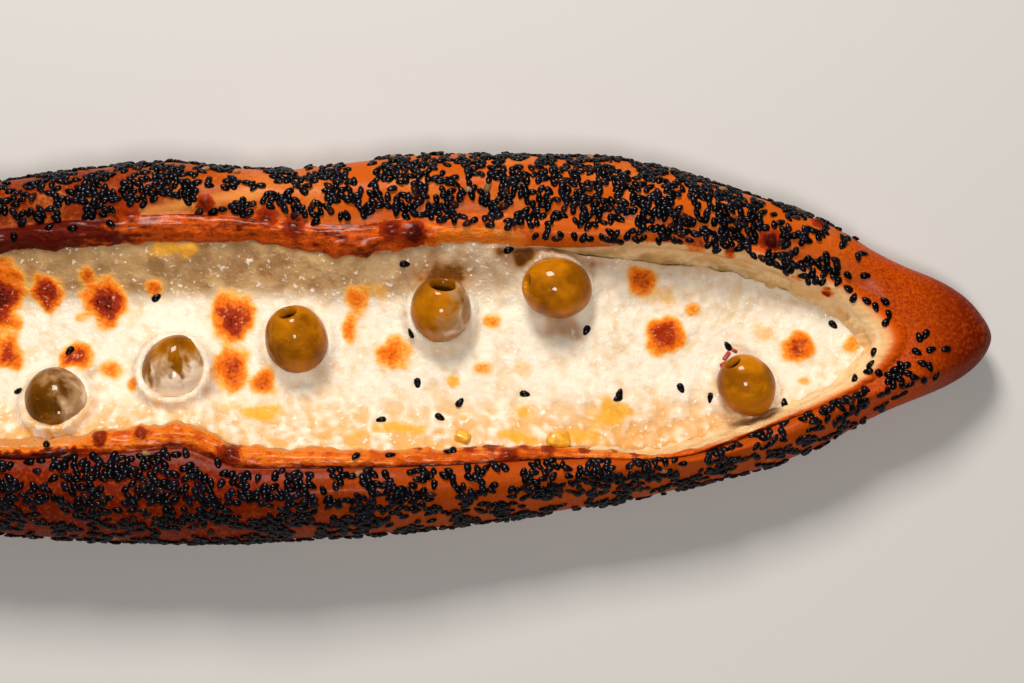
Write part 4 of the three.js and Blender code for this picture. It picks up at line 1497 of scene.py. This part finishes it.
def drop_seeds(name, carrier, places, height):
    """Copies of the one seed, each turned on by the golden angle, so no two lie alike."""
    copies = []
    for i, (x, y) in enumerate(places):
        copy = one_seed.copy()
        copy.data = one_seed.data.copy()
        bpy.context.collection.objects.link(copy)
        copy.data.transform(lying_on(carrier, x * mm, y * mm, height, i * GOLDEN_ANGLE))
        copies.append(copy)
    piece = join_as(name, copies)
    piece.data.materials.append(seed_material)
    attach(piece, "root")
    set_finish(piece, "crust")


drop_seeds("loose_seeds", cheese, LOOSE_SEEDS, 0.1 * mm)
drop_seeds("single_seeds", crust, NOSE_AND_LIP_SEEDS, 0.25 * mm)
bpy.data.objects.remove(one_seed)
print("single seeds:", len(LOOSE_SEEDS), "on the cheese and", len(NOSE_AND_LIP_SEEDS), "on the crust")

# %% [markdown]
# ## Dice of yellow pepper and flecks of red
# Small dice of yellow pepper lie along the front, half sunk in the cheese, and a few red flecks lie by
# the last olive. A die starts as a cube: its edges are bevelled, its surface is subdivided, and a
# little noise makes it uneven. A fleck is the same die pressed flat.

# %% Cut the dice
# place along and across, lengths of the three sides in millimetres, and turn in degrees
YELLOW_DICE = [
    (86, -32.5, 6.8, 4.6, 4.2, 4), (57, -32, 4.6, 3.8, 3.6, -24), (-94, -25, 5.2, 4.4, 3.6, 15),
    (-120, 19, 5.0, 4.2, 3.4, 40),
]
RED_FLECKS = [
    (138.5, -4.5, 3.4, 1.4, 1.0, 60), (137.5, -7.5, 2.6, 1.6, 0.9, 20), (141, -2.5, 1.8, 1.0, 0.8, -30),
]
DIE_ROUNDING = 0.28  # of its height
DIE_UNEVEN = 0.12


def cut_die(x, y, length, depth, height, degrees, sunk):
    """A die on the cheese, sunk by a share of its height."""
    bpy.ops.mesh.primitive_cube_add(size=1)
    die = bpy.context.object
    select_only(die)
    bpy.ops.object.mode_set(mode="EDIT")
    bpy.ops.mesh.select_all(action="SELECT")
    bpy.ops.transform.resize(value=(length * mm, depth * mm, height * mm))
    bpy.ops.mesh.bevel(offset=DIE_ROUNDING * height * mm, segments=2, affect="EDGES")
    bpy.ops.mesh.subdivide(number_cuts=1)
    bpy.ops.object.mode_set(mode="OBJECT")
    points = read_points(die)
    points *= (1 + DIE_UNEVEN * grain(points + (x * mm, 0, 0), 2 * mm))[:, None]
    write_points(die, points)
    up = (0.5 - sunk) * height * mm
    die.data.transform(lying_on(cheese, x * mm, y * mm, up, math.radians(degrees)))
    bpy.ops.object.shade_smooth()
    return die


PEPPER_YELLOW = (0.85, 0.48, 0.01)
PEPPER_DEEP = (0.75, 0.28, 0.004)
FLECK_RED = (0.6, 0.03, 0.01)
FLECK_DEEP = (0.35, 0.01, 0.004)


def make_pepper_material(name, color, deep):
    material, tree, shader = start_material(
        name, Subsurface_Weight=0.3, Subsurface_Scale=0.002, Coat_Weight=0.5, Coat_Roughness=0.08)
    shader.inputs["Subsurface Radius"].default_value = (1.0, 0.6, 0.1)
    mottled = noise_at(tree, 2 * mm, 3.0)
    tree.links.new(fade(tree, mottled, 0.35, 0.65, deep, color), shader.inputs["Base Color"])
    bump(tree, shader, mottled, 0.4 * mm, 0.5)
    return material


def lay_dice(name, places, sunk, color, deep):
    dice = join_as(name, [cut_die(*die, sunk) for die in places])
    dice.data.materials.append(make_pepper_material(name, color, deep))
    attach(dice, "root")
    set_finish(dice, "cheese")


lay_dice("yellow_dice", YELLOW_DICE, 0.45, PEPPER_YELLOW, PEPPER_DEEP)
lay_dice("red_flecks", RED_FLECKS, 0.3, FLECK_RED, FLECK_DEEP)
print("dice and flecks:", len(YELLOW_DICE), len(RED_FLECKS))

# %% [markdown]
# ## Size
# The boxes of the solids and of the dressed bread are both kept and printed, so that they can be compared.
# The dressed bread may not outgrow its solids.

# %% Keep both sizes and print them
size = {"cad": [list(map(float, corner)) for corner in cad_box]}
size["visual"] = [list(map(float, corner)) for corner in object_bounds()]
print(size)
